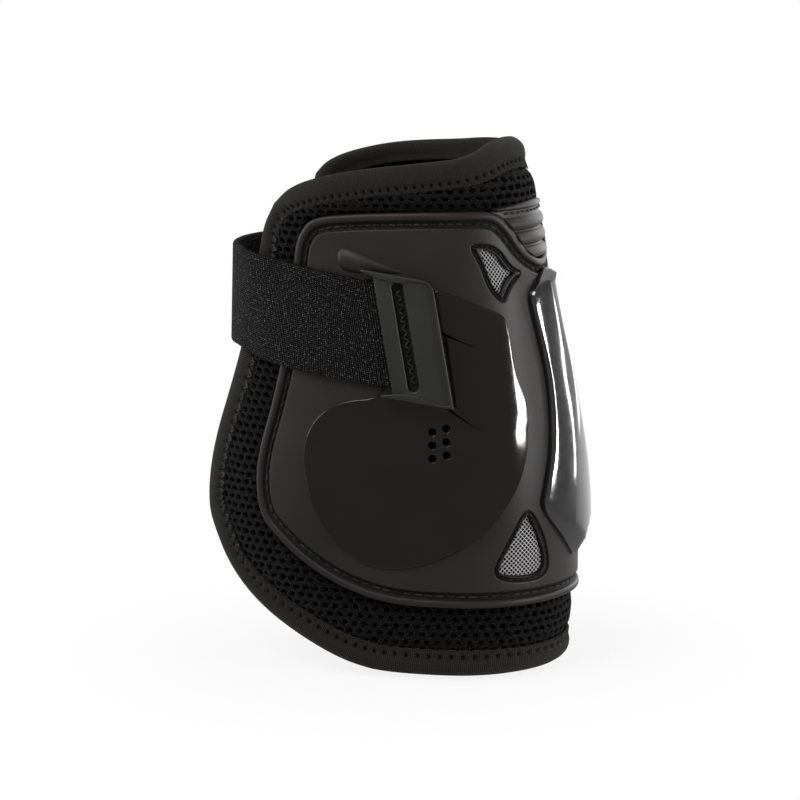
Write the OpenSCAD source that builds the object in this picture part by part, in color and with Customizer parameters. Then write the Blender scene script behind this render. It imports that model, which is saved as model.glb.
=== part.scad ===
// Hind fetlock boot: a padded wrap for the back and sides of a horse's fetlock,
// with a moulded shell, a spine bumper and one elastic strap across the open front.
// The body is drawn on a wrapped sheet. A point on it has q, the distance round
// from the spine at full girth (minus on the near side), z, the height, and d, the
// distance out from the face of the padding.

/* [Wrap] */
// Radius of the back of the wrap
back_radius = 32; // [28:1:38]
// Angle that the back turns through before the side begins
back_turn = 72; // [66:1:78]
// Radius of the long side
side_radius = 130; // [110:5:160]
// Radius of the front, where the edges curl inwards
front_radius = 70; // [60:2:90]
// Girth of the top collar as a share of the full girth
collar_share = 0.735; // [0.68:0.005:0.8]
// How far the collar leans forward of the fetlock
collar_lean = 14; // [8:1:18]
// How far the hem tucks in at the back
hem_tuck = 1.5; // [0:0.5:3]
// Distance from the origin back to the padding at the spine
spine_back = 49.7; // [40:0.1:60]
// Distance from the origin across to the plane of the spine
spine_side = 0.1; // [-5:0.1:5]

/* [Padding] */
// Height of the padding at the spine
boot_height = 156.5; // [150:0.5:165]
// Reach of the padding round to each front edge, at its widest
wrap_reach = 131; // [126:1:134]
// Thickness of the lining next to the leg
lining_t = 1.9; // [1.5:0.1:2.5]
// Thickness of the foam
foam_t = 4; // [3:0.1:5]
// Thickness of the spacer mesh
cover_t = 2.2; // [1.5:0.1:3]
// Room between two layers of the padding
layer_gap = 0.25; // [0.2:0.05:0.4]
// Width of the binding that shows on each face
binding_w = 8.5; // [6:0.5:10]
// Thickness of the binding
binding_t = 0.9; // [0.6:0.1:1.4]

/* [Shell] */
// Height of the shell's lower edge
shell_bottom = 21.8; // [18:0.2:26]
// Padding that shows above the shell
collar_show = 19.9; // [17:0.1:23]
// Reach of the shell round to each side, at its widest
shell_reach = 104; // [98:1:108]
// Thickness of the shell's face
shell_t = 2.5; // [2:0.1:3.2]
// Width of the rim bead
rim_w = 2.2; // [1.6:0.1:3]
// Height of the rim bead above the face
rim_proud = 0.3; // [0.1:0.05:0.5]
// Width of the stitch groove inside the rim
groove_w = 2.6; // [2:0.1:3.4]
// Depth of the stitch groove
groove_depth = 0.8; // [0.4:0.1:1.2]
// Diameter of the vent holes
vent_d = 2; // [1.4:0.1:2.6]
// Distance between two vent holes
vent_pitch = 3.8; // [3.2:0.1:5]

/* [Bellows] */
// Half width of the flex panel at its top
bellows_half = 20.7; // [16:0.5:24]
// Depth of the flex panel below the shell's upper edge
bellows_depth = 15.4; // [12:0.2:18]
// Number of ribs
rib_count = 4; // [3:1:6]
// Height of a rib
rib_proud = 1.3; // [0.6:0.1:2]

/* [Bumper] */
// Distance from the shell's lower edge up to the bumper's lower tip
bumper_rise = 11.7; // [7:0.1:18]
// Distance from the flex panel's lowest point down to the bumper's upper point
bumper_drop = 2.7; // [2.2:0.1:9]
// How far the bumper stands out of the shell's face
bumper_proud = 4.2; // [3:0.2:6]
// Width of the bevel along each edge of the bumper
bumper_bevel = 2.6; // [1.5:0.1:4]

/* [Strap] */
// Width of the elastic
strap_w = 30; // [26:1:34]
// Thickness of the elastic
strap_t = 1.6; // [1.2:0.1:2.2]
// Distance from the shell's upper edge down to the middle of the elastic
strap_drop = 28.1; // [25:0.1:32]
// Fall of the elastic towards the hook, in each unit of length
strap_fall = 0.125; // [0.05:0.005:0.15]
// Room between the elastic and the shell
strap_room = 0.7; // [0.5:0.1:1.2]
// Distance round to the seam on the far side
seam_reach = 95; // [90:1:98]
// Length of the sewn end on the far side
anchor_l = 17; // [12:1:24]
// Distance round to the line where the elastic folds back as it opens
fold_reach = 120; // [112:1:124]

/* [Hook] */
// Distance round to the middle of the hook's channel
hook_reach = 56.5; // [52:0.5:62]
// Distance from the middle of the elastic down to the middle of the hook
hook_drop = 8; // [5:0.5:10]
// Tilt of the hook's bars from upright
hook_tilt = 11; // [6:0.5:14]
// Angle by which the bars of the hook are out of square with the elastic
hook_skew = 19; // [12:0.5:21]
// Thickness of the hook plate
hook_t = 2.2; // [1.6:0.1:3]
// Width of the sewing channel
channel_w = 3.4; // [2.6:0.1:4.5]
// Width of the bar in front of the channel
bar_w = 4.7; // [3.5:0.1:6]
// Width of the grip behind the channel
grip_w = 8.8; // [8.2:0.1:10]
// Thickness of the flanges at the edges of the strap
flange_t = 2.1; // [1.4:0.1:3]
// Length of the flanges in front of the bar
flange_l = 3.4; // [2:0.1:4.5]
// Thickness of the lip that grips the catch
lip_t = 1.8; // [1.2:0.1:2]
// Room between the lip and the catch
catch_room = 1.3; // [1.1:0.1:1.6]

/* [Hidden] */

// ---- Heights on the spine --------------------------------------------------

shell_top = boot_height - collar_show;
bellows_low = shell_top - bellows_depth;
bumper_low = shell_bottom + bumper_rise;
bumper_high = bellows_low - bumper_drop;
strap_height = shell_top - strap_drop;
hook_height = strap_height - hook_drop;

// ---- The wrapped sheet ----------------------------------------------------

DEG = 180 / PI;
back_len = back_radius * back_turn / DEG;
side_len = side_radius * (90 - back_turn) / DEG;
BODY_ARCS = [[back_len, back_radius], [side_len, side_radius], [1000, front_radius]];

// Position and heading after a walk of length q along arcs of [length, radius]
function walk(arcs, q, i = 0, x = 0, y = 0, h = 0) =
    let (last = i == len(arcs) - 1 || q <= arcs[i][0],
         step = last ? q : arcs[i][0],
         r = arcs[i][1],
         h2 = h + step / r * DEG,
         x2 = x + r * (cos(h2) - cos(h)),
         y2 = y + r * (sin(h2) - sin(h)))
    last ? [x2, y2, h2] : walk(arcs, q - step, i + 1, x2, y2, h2);

function ease(t) = let (u = min(1, max(0, t))) u * u * (3 - 2 * u);

// Girth and fore-and-aft shift at a height
girth_from = 35;
girth_span = 120;
lean_from = 45;
lean_span = 115;
tuck_height = 30;
function girth(z) = 1 - (1 - collar_share) * ease((z - girth_from) / girth_span);
function shift(z) =
    -collar_lean * ease((z - lean_from) / lean_span) - hem_tuck * pow(max(0, 1 - z / tuck_height), 2);

function at(arcs, q, z, d) =
    let (w = walk(arcs, abs(q)), k = girth(z), side = q < 0 ? -1 : 1)
    [shift(z) + k * w[0] + d * cos(w[2]), side * (k * w[1] + d * sin(w[2])), z];

module in_place() translate([spine_back, spine_side, 0]) children();

// ---- Outlines on the sheet ------------------------------------------------

// Rounds a polyline by cutting its corners, keeping its ends
function soften(p, n = 1) =
    n == 0 ? p : soften([
        p[0],
        each [for (i = [0:len(p) - 2]) each [p[i] * 0.75 + p[i + 1] * 0.25, p[i] * 0.25 + p[i + 1] * 0.75]],
        p[len(p) - 1]], n - 1);

// Rounds a closed outline by cutting its corners
function soften_loop(p, n = 1) =
    n == 0 ? p : soften_loop([
        for (i = [0:len(p) - 1])
            let (b = p[(i + 1) % len(p)])
            each [p[i] * 0.75 + b * 0.25, p[i] * 0.25 + b * 0.75]], n - 1);

// Moves each point by a to the left of the way it travels, in true lengths
function inset_at(p, a, i, before, after) =
    let (t = p[after] - p[before], k = girth(p[i][1]), true_t = [t[0] * k, t[1]], u = true_t / norm(true_t))
    [p[i][0] - a * u[1] / k, p[i][1] + a * u[0]];
function inset(p, a) = [for (i = [0:len(p) - 1]) inset_at(p, a, i, max(i - 1, 0), min(i + 1, len(p) - 1))];
function inset_loop(p, a) =
    let (n = len(p)) [for (i = [0:n - 1]) inset_at(p, a, i, (i + n - 1) % n, (i + 1) % n)];

// The far half of an outline, from the spine at the bottom to the spine at the top,
// made whole with its mirror image
function whole(half) = concat(half, [for (i = [len(half) - 2:-1:1]) [-half[i][0], half[i][1]]]);

// Reach of a half outline at a height
function reach(half, z) = lookup(z, [for (p = half) [p[1], p[0]]]);

// Polyline with n even steps along it
function lengths(p, i = 0, sum = 0) =
    i == len(p) - 1 ? [[sum, i]] : concat([[sum, i]], lengths(p, i + 1, sum + norm(p[i + 1] - p[i])));
function resample(p, n) =
    let (marks = lengths(p), total = marks[len(marks) - 1][0])
    [for (s = [0:n])
        let (where = lookup(total * s / n, marks), i = min(floor(where), len(p) - 2), f = where - i)
        p[i] * (1 - f) + p[i + 1] * f];

// Far half of a loop: a lower run with n steps, a front run with m steps and an upper run with n steps
function runs(r, n, m) =
    let (low = resample(r[0], n), side = resample(r[1], m), high = resample(r[2], n))
    whole(concat(low, [for (i = [1:m]) side[i]], [for (i = [1:n]) high[i]]));

// The padding's far half: hem, front edge and top edge
hem_flat = 58;
hem_corner = [wrap_reach - 2, 37];
top_corner = [wrap_reach - 16, 138];
padding_runs = [
    soften([[0, 0], [hem_flat, 0], [72, 3], [86, 11], [104, 18.5], [118, 25], hem_corner], 2),
    soften([hem_corner, [wrap_reach, 48], [wrap_reach - 0.5, 64], [wrap_reach - 4, 80], [wrap_reach - 7, 96],
            [wrap_reach - 8, 114], [wrap_reach - 9.5, 129], top_corner], 2),
    soften([top_corner, [108, boot_height - 14], [94, boot_height - 10.4], [74, boot_height - 7.5],
            [50, boot_height - 5.5], [26, boot_height - 3.5], [12, boot_height - 0.5], [0, boot_height]], 2)];

// The shell's far half: lower edge, front edge, and upper edge down into the V of the flex panel
shell_low_corner = [shell_reach - 7, shell_bottom + 20.5];
shell_high_corner = [shell_reach - 7, shell_top - 8.5];
shell_runs = [
    soften([[0, shell_bottom], [46, shell_bottom], [62, shell_bottom + 1.5], [78, shell_bottom + 8],
            [89, shell_bottom + 15], shell_low_corner], 2),
    soften([shell_low_corner, [shell_reach - 2, shell_bottom + 31], [shell_reach, shell_bottom + 46],
            [shell_reach - 4, shell_bottom + 60], [shell_reach - 6, shell_bottom + 80],
            [shell_reach - 5.5, shell_top - 13], shell_high_corner], 2),
    soften([shell_high_corner, [shell_reach - 11, shell_top - 3.4], [shell_reach - 22, shell_top - 1.6],
            [shell_reach - 46, shell_top - 0.4], [bellows_half + 12, shell_top], [bellows_half + 1, shell_top - 0.2],
            [bellows_half * 0.75, shell_top - 5], [bellows_half * 0.5, bellows_low + 3.4],
            [3.6, bellows_low + 0.3], [0, bellows_low]], 2)];
notch_half = [
    for (i = [len(shell_runs[2]) - 1:-1:0])
        if (shell_runs[2][i][0] < bellows_half + 3) shell_runs[2][i]];

// ---- Solids on the sheet --------------------------------------------------

function split(quads) = [for (f = quads) each [[f[0], f[1], f[2]], [f[0], f[2], f[3]]]];

// Closed solid between an inner and an outer grid of points, rows going up
module between(inner, outer) {
    rows = len(inner);
    cols = len(inner[0]);
    n = rows * cols;
    top = (rows - 1) * cols;
    end = cols - 1;
    points = concat([for (r = inner) each r], [for (r = outer) each r]);
    skins = [
        for (r = [0:rows - 2], c = [0:cols - 2])
            let (a = r * cols + c, b = a + cols)
            each [[n + a, n + b, n + b + 1, n + a + 1], [a, a + 1, b + 1, b]]];
    hems = [
        for (c = [0:cols - 2])
            each [[n + c, n + c + 1, c + 1, c], [n + top + c + 1, n + top + c, top + c, top + c + 1]]];
    sides = [
        for (r = [0:rows - 2])
            let (a = r * cols, b = a + cols)
            each [[n + b, n + a, a, b], [n + a + end, n + b + end, b + end, a + end]]];
    polyhedron(points, split(concat(skins, hems, sides)));
}

// Closed solid inside a loop made by runs(); its edge profile is a list of [inset, d] ending at the face
module tray(loop, run, front, profile, d_in) {
    n = len(loop);
    cols = 2 * run;
    edge = len(profile);
    // Index on the loop of a point on the grid's border
    function border(r, c) =
        r == 0 ? (c - run + n) % n
        : r == front ? run + front + cols - c
        : c == cols ? run + r
        : n - run - r;
    function fill(ring, r, c) =
        let (u = c / cols, v = r / front,
             low = ring[border(0, c)] * (1 - v) + ring[border(front, c)] * v,
             side = ring[border(r, 0)] * (1 - u) + ring[border(r, cols)] * u,
             low_corners = ring[border(0, 0)] * (1 - u) + ring[border(0, cols)] * u,
             high_corners = ring[border(front, 0)] * (1 - u) + ring[border(front, cols)] * u)
        low + side - low_corners * (1 - v) - high_corners * v;
    function inside(ring, d) = [
        for (r = [1:front - 1], c = [1:cols - 1])
            let (s = fill(ring, r, c)) at(BODY_ARCS, s[0], s[1], d)];
    function around(inset, d) = [for (s = inset_loop(loop, inset)) at(BODY_ARCS, s[0], s[1], d)];
    face = profile[edge - 1];
    outer_grid = (edge + 1) * n;
    inner_grid = outer_grid + (front - 1) * (cols - 1);
    function id(ring, grid, r, c) =
        (r == 0 || r == front || c == 0 || c == cols) ? ring + border(r, c) : grid + (r - 1) * (cols - 1) + c - 1;
    function outer(r, c) = id((edge - 1) * n, outer_grid, r, c);
    function inner(r, c) = id(edge * n, inner_grid, r, c);
    points = concat(
        [for (p = profile) each around(p[0], p[1])], around(0, d_in),
        inside(inset_loop(loop, face[0]), face[1]), inside(loop, d_in));
    strips = [
        for (k = [0:1:edge - 2], i = [0:n - 1])
            let (j = (i + 1) % n)
            [k * n + i, (k + 1) * n + i, (k + 1) * n + j, k * n + j]];
    wall = [for (i = [0:n - 1]) let (j = (i + 1) % n) [edge * n + i, i, j, edge * n + j]];
    faces = [
        for (r = [0:front - 1], c = [0:cols - 1])
            each [[outer(r, c), outer(r + 1, c), outer(r + 1, c + 1), outer(r, c + 1)],
                  [inner(r, c), inner(r, c + 1), inner(r + 1, c + 1), inner(r + 1, c)]]];
    polyhedron(points, split(concat(strips, wall, faces)));
}

// Patch inside a closed outline that its middle sees whole, in rings
module patch(outline, middle, d_in, d_out, rings = 2) {
    n = len(outline);
    half = 1 + rings * n;
    function side(d) = [
        at(BODY_ARCS, middle[0], middle[1], d),
        each [for (r = [1:rings]) each [for (p = outline) let (s = middle + (p - middle) * r / rings)
            at(BODY_ARCS, s[0], s[1], d)]]];
    fans = [for (i = [0:n - 1]) let (j = (i + 1) % n) each [[0, 1 + i, 1 + j], [half, half + 1 + j, half + 1 + i]]];
    bands = [
        for (r = [0:1:rings - 2], i = [0:n - 1])
            let (j = (i + 1) % n, a = 1 + r * n, b = a + n)
            each [[a + i, b + i, b + j, a + j], [half + a + j, half + b + j, half + b + i, half + a + i]]];
    edge = 1 + (rings - 1) * n;
    walls = [for (i = [0:n - 1]) let (j = (i + 1) % n) [edge + i, half + edge + i, half + edge + j, edge + j]];
    polyhedron(concat(side(d_in), side(d_out)), concat(fans, split(concat(bands, walls))));
}

// Bead along a path on the sheet; its section is a list of [a, d], a to the left of the path
module bead(path, section, closed = true) {
    n = len(path);
    m = len(section);
    lanes = [for (s = section) closed ? inset_loop(path, s[0]) : inset(path, s[0])];
    points = [for (i = [0:n - 1]) each [for (j = [0:m - 1]) at(BODY_ARCS, lanes[j][i][0], lanes[j][i][1], section[j][1])]];
    walls = [
        for (i = [0:closed ? n - 1 : n - 2], j = [0:m - 1])
            let (a = i * m, b = ((i + 1) % n) * m, k = (j + 1) % m)
            [a + j, b + j, b + k, a + k]];
    caps = closed ? [] : [for (j = [1:m - 2]) each [[0, j, j + 1], [(n - 1) * m, (n - 1) * m + j + 1, (n - 1) * m + j]]];
    polyhedron(points, concat(split(walls), caps));
}

function bead_section(w, low, high) = [[-w / 2, low], [w / 2, low], [0, high]];

// ---- Levels, out from the face of the padding -----------------------------

cover_low = -cover_t;
foam_high = cover_low - layer_gap;
foam_low = foam_high - foam_t;
lining_high = foam_low - layer_gap;
lining_low = lining_high - lining_t;
shell_low = layer_gap + 0.1;
shell_face = shell_low + shell_t;
groove_floor = shell_face - groove_depth;
rim_high = shell_face + rim_proud;
bumper_seat = shell_face + 0.2;
bumper_face = shell_face + bumper_proud;
strap_low = shell_face + strap_room;
strap_high = strap_low + strap_t;

// ---- Padding --------------------------------------------------------------

padding_edge = 2.6;
padding_run = 14;
padding_front = 9;
padding_loop = runs(padding_runs, padding_run, padding_front);

module padding_layer(low, high)
    tray(inset_loop(padding_loop, padding_edge), padding_run, padding_front, [[0, high]], low);

module inner_lining() in_place() color("#1b1b1c") padding_layer(lining_low, lining_high);
module foam_core() in_place() color("#2a2a2c") padding_layer(foam_low, foam_high);
module mesh_cover() in_place() color("#121212") padding_layer(cover_low, 0);

module edge_binding() in_place() color("#232323") {
    out = layer_gap + 0.15;
    in = lining_low - layer_gap - 0.15;
    middle = (out + in) / 2;
    roll = [
        [binding_w, out], [binding_w, out + binding_t], [3.2, out + binding_t + 0.2], [0.9, out - 0.6],
        [0, middle], [0.9, in + 0.6], [3.2, in - binding_t - 0.2], [binding_w, in - binding_t], [binding_w, in],
        [padding_edge - 0.6, in], [padding_edge - 0.6, out]];
    bead(padding_loop, roll);
}

module binding_stitching() in_place() color("#0c0c0c") {
    low = layer_gap + 0.15 + binding_t + 0.2;
    bead(inset_loop(padding_loop, binding_w - 2), bead_section(1, low, low + 0.5));
}

// ---- Shell ----------------------------------------------------------------

shell_run = 16;
shell_front = 10;
shell_loop = runs(shell_runs, shell_run, shell_front);

upper_window = soften_loop([
    [26, shell_top - 9], [21, shell_top - 11], [17, shell_top - 16.6], [11.8, shell_top - 18.2],
    [18.6, shell_top - 22], [21.7, shell_top - 27.6], [27, shell_top - 23.1], [29.4, shell_top - 15.1],
    [33, shell_top - 9.2]]);
upper_opening = soften_loop([
    [25.6, shell_top - 11.2], [22.4, shell_top - 12.8], [19.4, shell_top - 17.2], [15.6, shell_top - 18],
    [20, shell_top - 20], [23, shell_top - 25], [25, shell_top - 22.1], [27, shell_top - 16.1],
    [29, shell_top - 10.2]]);
upper_middle = [22.8, shell_top - 17.2];
lower_window = soften_loop([
    [15.6, shell_bottom + 23.7], [12, shell_bottom + 14.7], [12, shell_bottom + 6.8],
    [25.6, shell_bottom + 6.6], [31.4, shell_bottom + 9.8], [25.6, shell_bottom + 20.2],
    [20.4, shell_bottom + 30.2]]);
lower_opening = soften_loop([
    [17, shell_bottom + 20.8], [15, shell_bottom + 14.7], [14.6, shell_bottom + 9],
    [25, shell_bottom + 9.4], [29, shell_bottom + 11.2], [24, shell_bottom + 19.2],
    [20.5, shell_bottom + 27.4]]);
lower_middle = [20.6, shell_bottom + 14.7];
WINDOWS = [[upper_window, upper_opening, upper_middle], [lower_window, lower_opening, lower_middle]];

vent_at = [hook_reach - 11.3, hook_height - 30.1];

module both_sides() {
    children();
    mirror([0, 1, 0]) children();
}

// Frame of the hook: x round towards the spine, y up the strap's width, z out, at the strap's inner face
module hook_frame() {
    w = walk(BODY_ARCS, hook_reach);
    translate(at(BODY_ARCS, -hook_reach, hook_height, strap_low))
        rotate([0, 0, 90 - w[2]]) rotate([90 - side_lean, 0, 0]) rotate([0, 0, hook_tilt]) children();
}

// Lean of the side wall at the hook, from upright
side_lean = atan((at(BODY_ARCS, -hook_reach, hook_height + 10, 0)[1] - at(BODY_ARCS, -hook_reach, hook_height - 10, 0)[1]) / 20);

// The catch stands on the shell between the end of the elastic and the hook's lip
face_here = -strap_room;
catch_x = channel_w + 0.4;
catch_l = 4.2;
catch_top = 0.9;
catch_draft = tan(20);
catch_low = -15;
catch_high = -1;
lip_low = -0.3;
plate_low = strap_t + 0.2;

// Rear face of the catch at a height in the hook's frame, sloped so that the lip draws off it
function catch_rear(z) = catch_x + catch_l + (catch_top - z) * catch_draft;

module catch_block() hook_frame()
    translate([0, catch_high, 0]) rotate([90, 0, 0]) linear_extrude(catch_high - catch_low)
        polygon([
            [catch_x, face_here - 1.6], [catch_x, catch_top - 0.5], [catch_x + 0.5, catch_top],
            [catch_rear(catch_top), catch_top], [catch_rear(face_here - 1.6), face_here - 1.6]]);

// Recess behind the catch: its floor rises to the face towards the spine between two tapered side walls
RAMP_HIGH = [for (p = [[9.6, 3.5], [13.8, 1.7], [18.7, -0.5], [24.5, -3]]) [p[0] - hook_reach, hook_height + p[1]]];
RAMP_LOW = [for (p = [[11, -18.4], [14.5, -20.8], [18.5, -23.5], [23.4, -26.8]]) [p[0] - hook_reach, hook_height + p[1]]];
ramp_depth = 1.5;
module ramp_cut() {
    rows = [0, 0.5, 1];
    steps = len(RAMP_LOW) - 1;
    function point(c, t) = RAMP_LOW[c] * (1 - t) + RAMP_HIGH[c] * t;
    function row(t, high) = [
        for (c = [0:steps])
            let (s = point(c, t))
            at(BODY_ARCS, s[0], s[1], high ? rim_high + 2 : shell_face - ramp_depth * (1 - c / steps) + 0.06)];
    between([for (t = rows) row(t, false)], [for (t = rows) row(t, true)]);
}

// Guide above the strap, thick at the front and fading to the back
module strap_guide() hull() {
    // Distance round and height from the hook's middle, depth of the centre, and radius
    for (p = [[20, 23.1, 0.9, 1.9], [9.5, 20.8, 0.8, 1.3], [-0.5, 18.5, 0.7, 0.8]])
        translate(at(BODY_ARCS, -hook_reach - p[0], hook_height + p[1], shell_face - p[2])) sphere(r = p[3], $fn = 12);
}

module vent_holes() for (i = [0:1], j = [-1:1])
    let (q = vent_at[0] - (i - 0.5) * vent_pitch * 1.1, z = vent_at[1] + j * vent_pitch + (i - 0.5))
    hull() {
        for (d = [shell_low - 1, rim_high])
            translate(at(BODY_ARCS, -q, z, d)) rotate([90, 0, 90 - walk(BODY_ARCS, q)[2]])
                cylinder(d = vent_d, h = 0.2, center = true, $fn = 10);
    }

rim_profile = [
    [0, rim_high], [rim_w - 0.3, rim_high], [rim_w, groove_floor], [rim_w + groove_w - 0.3, groove_floor],
    [rim_w + groove_w, shell_face]];

module outer_shell() in_place() color("#434143") difference() {
    union() {
        difference() {
            tray(shell_loop, shell_run, shell_front, rim_profile, shell_low);
            ramp_cut();
        }
        catch_block();
        strap_guide();
    }
    both_sides() for (w = WINDOWS) {
        patch(w[1], w[2], shell_low - 1, rim_high + 1);
        bead(inset_loop(w[0], 0.7), [[-0.7, groove_floor], [0.7, groove_floor], [0.7, rim_high + 1], [-0.7, rim_high + 1]]);
    }
    both_sides() vent_holes();
}

module flex_bellows() {
    edge = inset(notch_half, layer_gap + 0.25);
    low = bellows_low + 0.9;
    high = shell_top + 1.8;
    pitch = (high - low) / rib_count;
    profile = [[0, 0], [0.2, 0.75], [0.5, 1], [0.8, 0.75], [0.94, 0.1]];
    rows = concat([for (i = [0:rib_count - 1], p = profile) [low + pitch * (i + p[0]), p[1]]], [[high, 0]]);
    cols = 8;
    function row(z, d) = [for (c = [0:cols]) at(BODY_ARCS, max(1, reach(edge, z)) * (2 * c / cols - 1), z, d)];
    in_place() color("#4a484a") between([for (r = rows) row(r[0], shell_low)], [for (r = rows) row(r[0], groove_floor + 0.3 + rib_proud * r[1])]);
}

// Half width of the bumper at a height
bumper_half = soften([
    [0.5, bumper_low], [8, bumper_low + 7.5], [16, bumper_low + 16.5], [14.6, bumper_low + 22], [11, bumper_low + 34],
    [9.2, bumper_low + 48], [9.4, bumper_low + 58], [11, bumper_high - 16], [12.4, bumper_high - 7], [8, bumper_high - 3.4],
    [0.5, bumper_high]]);

module back_bumper() {
    lanes = [-1, -0.999, -0.55, 0, 0.55, 0.999, 1];
    ramp = 4.5;
    function crest(z) = ease(min(z - bumper_low, bumper_high - z) / ramp);
    function lane(half, t) =
        abs(t) == 1 ? t * half : abs(t) > 0.9 ? sign(t) * max(0.3, half - bumper_bevel) : t * max(0.3, half - bumper_bevel);
    function rise(z, t) =
        abs(t) == 1 ? 0.7 : 0.7 + (bumper_face - bumper_seat - 0.7) * crest(z) * (abs(t) > 0.9 ? 0.82 : abs(t) > 0.1 ? 0.97 : 1);
    rows = [for (p = bumper_half) [p[0], p[1]]];
    in_place() color("#38363a") between(
        [for (r = rows) [for (t = lanes) at(BODY_ARCS, lane(r[0], t), r[1], bumper_seat)]],
        [for (r = rows) [for (t = lanes) at(BODY_ARCS, lane(r[0], t), r[1], bumper_seat + rise(r[1], t))]]);
}

module shell_stitching() in_place() color("#0c0c0c")
    bead(inset_loop(shell_loop, rim_w + groove_w / 2), bead_section(0.8, groove_floor + 0.15, groove_floor + 0.65));

module vent_stitching() in_place() color("#0c0c0c")
    both_sides() for (w = WINDOWS)
        bead(inset_loop(w[0], 0.7), bead_section(0.6, groove_floor + 0.15, groove_floor + 0.6));

module vent_mesh(i) {
    w = WINDOWS[i];
    patch(inset_loop(w[1], 0.2), w[2], shell_low, shell_low + 0.8);
}

module vent_mesh_near_upper() in_place() color("#77777a") mirror([0, 1, 0]) vent_mesh(0);
module vent_mesh_near_lower() in_place() color("#77777a") mirror([0, 1, 0]) vent_mesh(1);
module vent_mesh_far_upper() in_place() color("#77777a") vent_mesh(0);
module vent_mesh_far_lower() in_place() color("#77777a") vent_mesh(1);

// ---- Strap ----------------------------------------------------------------

// Where the elastic leaves the padding to cross the open front, and the arc that it crosses on
strap_leave = 108;
leave_at = walk(BODY_ARCS, strap_leave);
front_arc = leave_at[1] / sin(leave_at[2]);
STRAP_ARCS = [[back_len, back_radius], [side_len, side_radius], [strap_leave - back_len - side_len, front_radius], [1000, front_arc]];
strap_mid = strap_leave + front_arc * (180 - leave_at[2]) / DEG;

fold_gap = 0.6;
hinge_x = bar_w + flange_l + fold_gap / 2;
hinge_reach = hook_reach + (bar_w + flange_l + fold_gap) / girth(hook_height);

// Height of the middle of the elastic: level on the far side, falling to the hook on the near side
function strap_z(q) = strap_height - (q < 0 ? strap_fall * max(0, strap_mid - 26 + q) : 0);

// Elastic from the far seam round the front to the hook, as rows across its width
module elastic_strap() {
    start = fold_reach + fold_gap / girth(strap_height);
    cols = 38;
    total = 2 * strap_mid - start - hinge_reach;
    slant = tan(hook_tilt) / girth(hook_height);
    rows = [-1, -0.33, 0.33, 1];
    function along(c) = let (l = start + total * c / cols) l < strap_mid ? l : l - 2 * strap_mid;
    function point(c, w, d) =
        let (fade = ease((c / cols - 0.7) / 0.3), q = along(c) - slant * w * strap_w / 2 * fade)
        at(STRAP_ARCS, q, strap_z(q) + w * strap_w / 2, d);
    in_place() color("#171717") between(
        [for (w = rows) [for (c = [0:cols]) point(c, w, strap_low)]],
        [for (w = rows) [for (c = [0:cols]) point(c, w, strap_high)]]);
}

// End of the elastic that is sewn to the shell and lies on the padding up to the fold
module strap_anchor() {
    cols = 9;
    rows = [-1, -0.33, 0.33, 1];
    start = seam_reach - anchor_l;
    function point(c, w, d) = at(STRAP_ARCS, start + (fold_reach - start) * c / cols, strap_height + w * strap_w / 2, d);
    in_place() color("#171717") between(
        [for (w = rows) [for (c = [0:cols]) point(c, w, strap_low)]],
        [for (w = rows) [for (c = [0:cols]) point(c, w, strap_high)]]);
}

// Box seam with a cross through the sewn end
module anchor_stitching() in_place() color("#0c0c0c") {
    low = strap_high + 0.3;
    left = seam_reach - anchor_l + 3;
    right = seam_reach - 3;
    lowest = strap_height - strap_w / 2 + 3;
    highest = strap_height + strap_w / 2 - 3;
    box = resample([[left, lowest], [right, lowest], [right, highest], [left, highest], [left, lowest]], 24);
    bead([for (i = [0:23]) box[i]], bead_section(0.7, low, low + 0.4));
}

// ---- Hook -----------------------------------------------------------------

plate_high = plate_low + hook_t;
plate_end = channel_w + grip_w;
plate_half = strap_w / 2 + 0.5 + flange_t;

// Height of a line along the elastic, offset from the middle, at a distance x across the hook's bars
function along_strap(x, offset) = offset / cos(hook_skew) - x * tan(hook_skew);

// Slanted strip across the hook from x0 to x1, between two lines along the elastic
module strip(x0, x1, low, high)
    polygon([
        [x0, along_strap(x0, low)], [x1, along_strap(x1, low)], [x1, along_strap(x1, high)], [x0, along_strap(x0, high)]]);

module strap_tail() in_place() color("#171717") hook_frame()
    linear_extrude(strap_t) strip(-bar_w - flange_l, channel_w - 0.2, -strap_w / 2, strap_w / 2);

// Outline of the hook's plate, its upper rear corner rounded
module plate_outline() {
    corner = [plate_end, along_strap(plate_end, plate_half)];
    from = corner - [0, 3];
    to = [plate_end - 3, along_strap(plate_end - 3, plate_half)];
    polygon([
        [-bar_w, along_strap(-bar_w, -plate_half)], [plate_end, along_strap(plate_end, -plate_half)],
        each [for (t = [0:0.25:1]) from * (1 - t) * (1 - t) + corner * 2 * t * (1 - t) + to * t * t],
        [-bar_w, along_strap(-bar_w, plate_half)]]);
}

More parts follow.
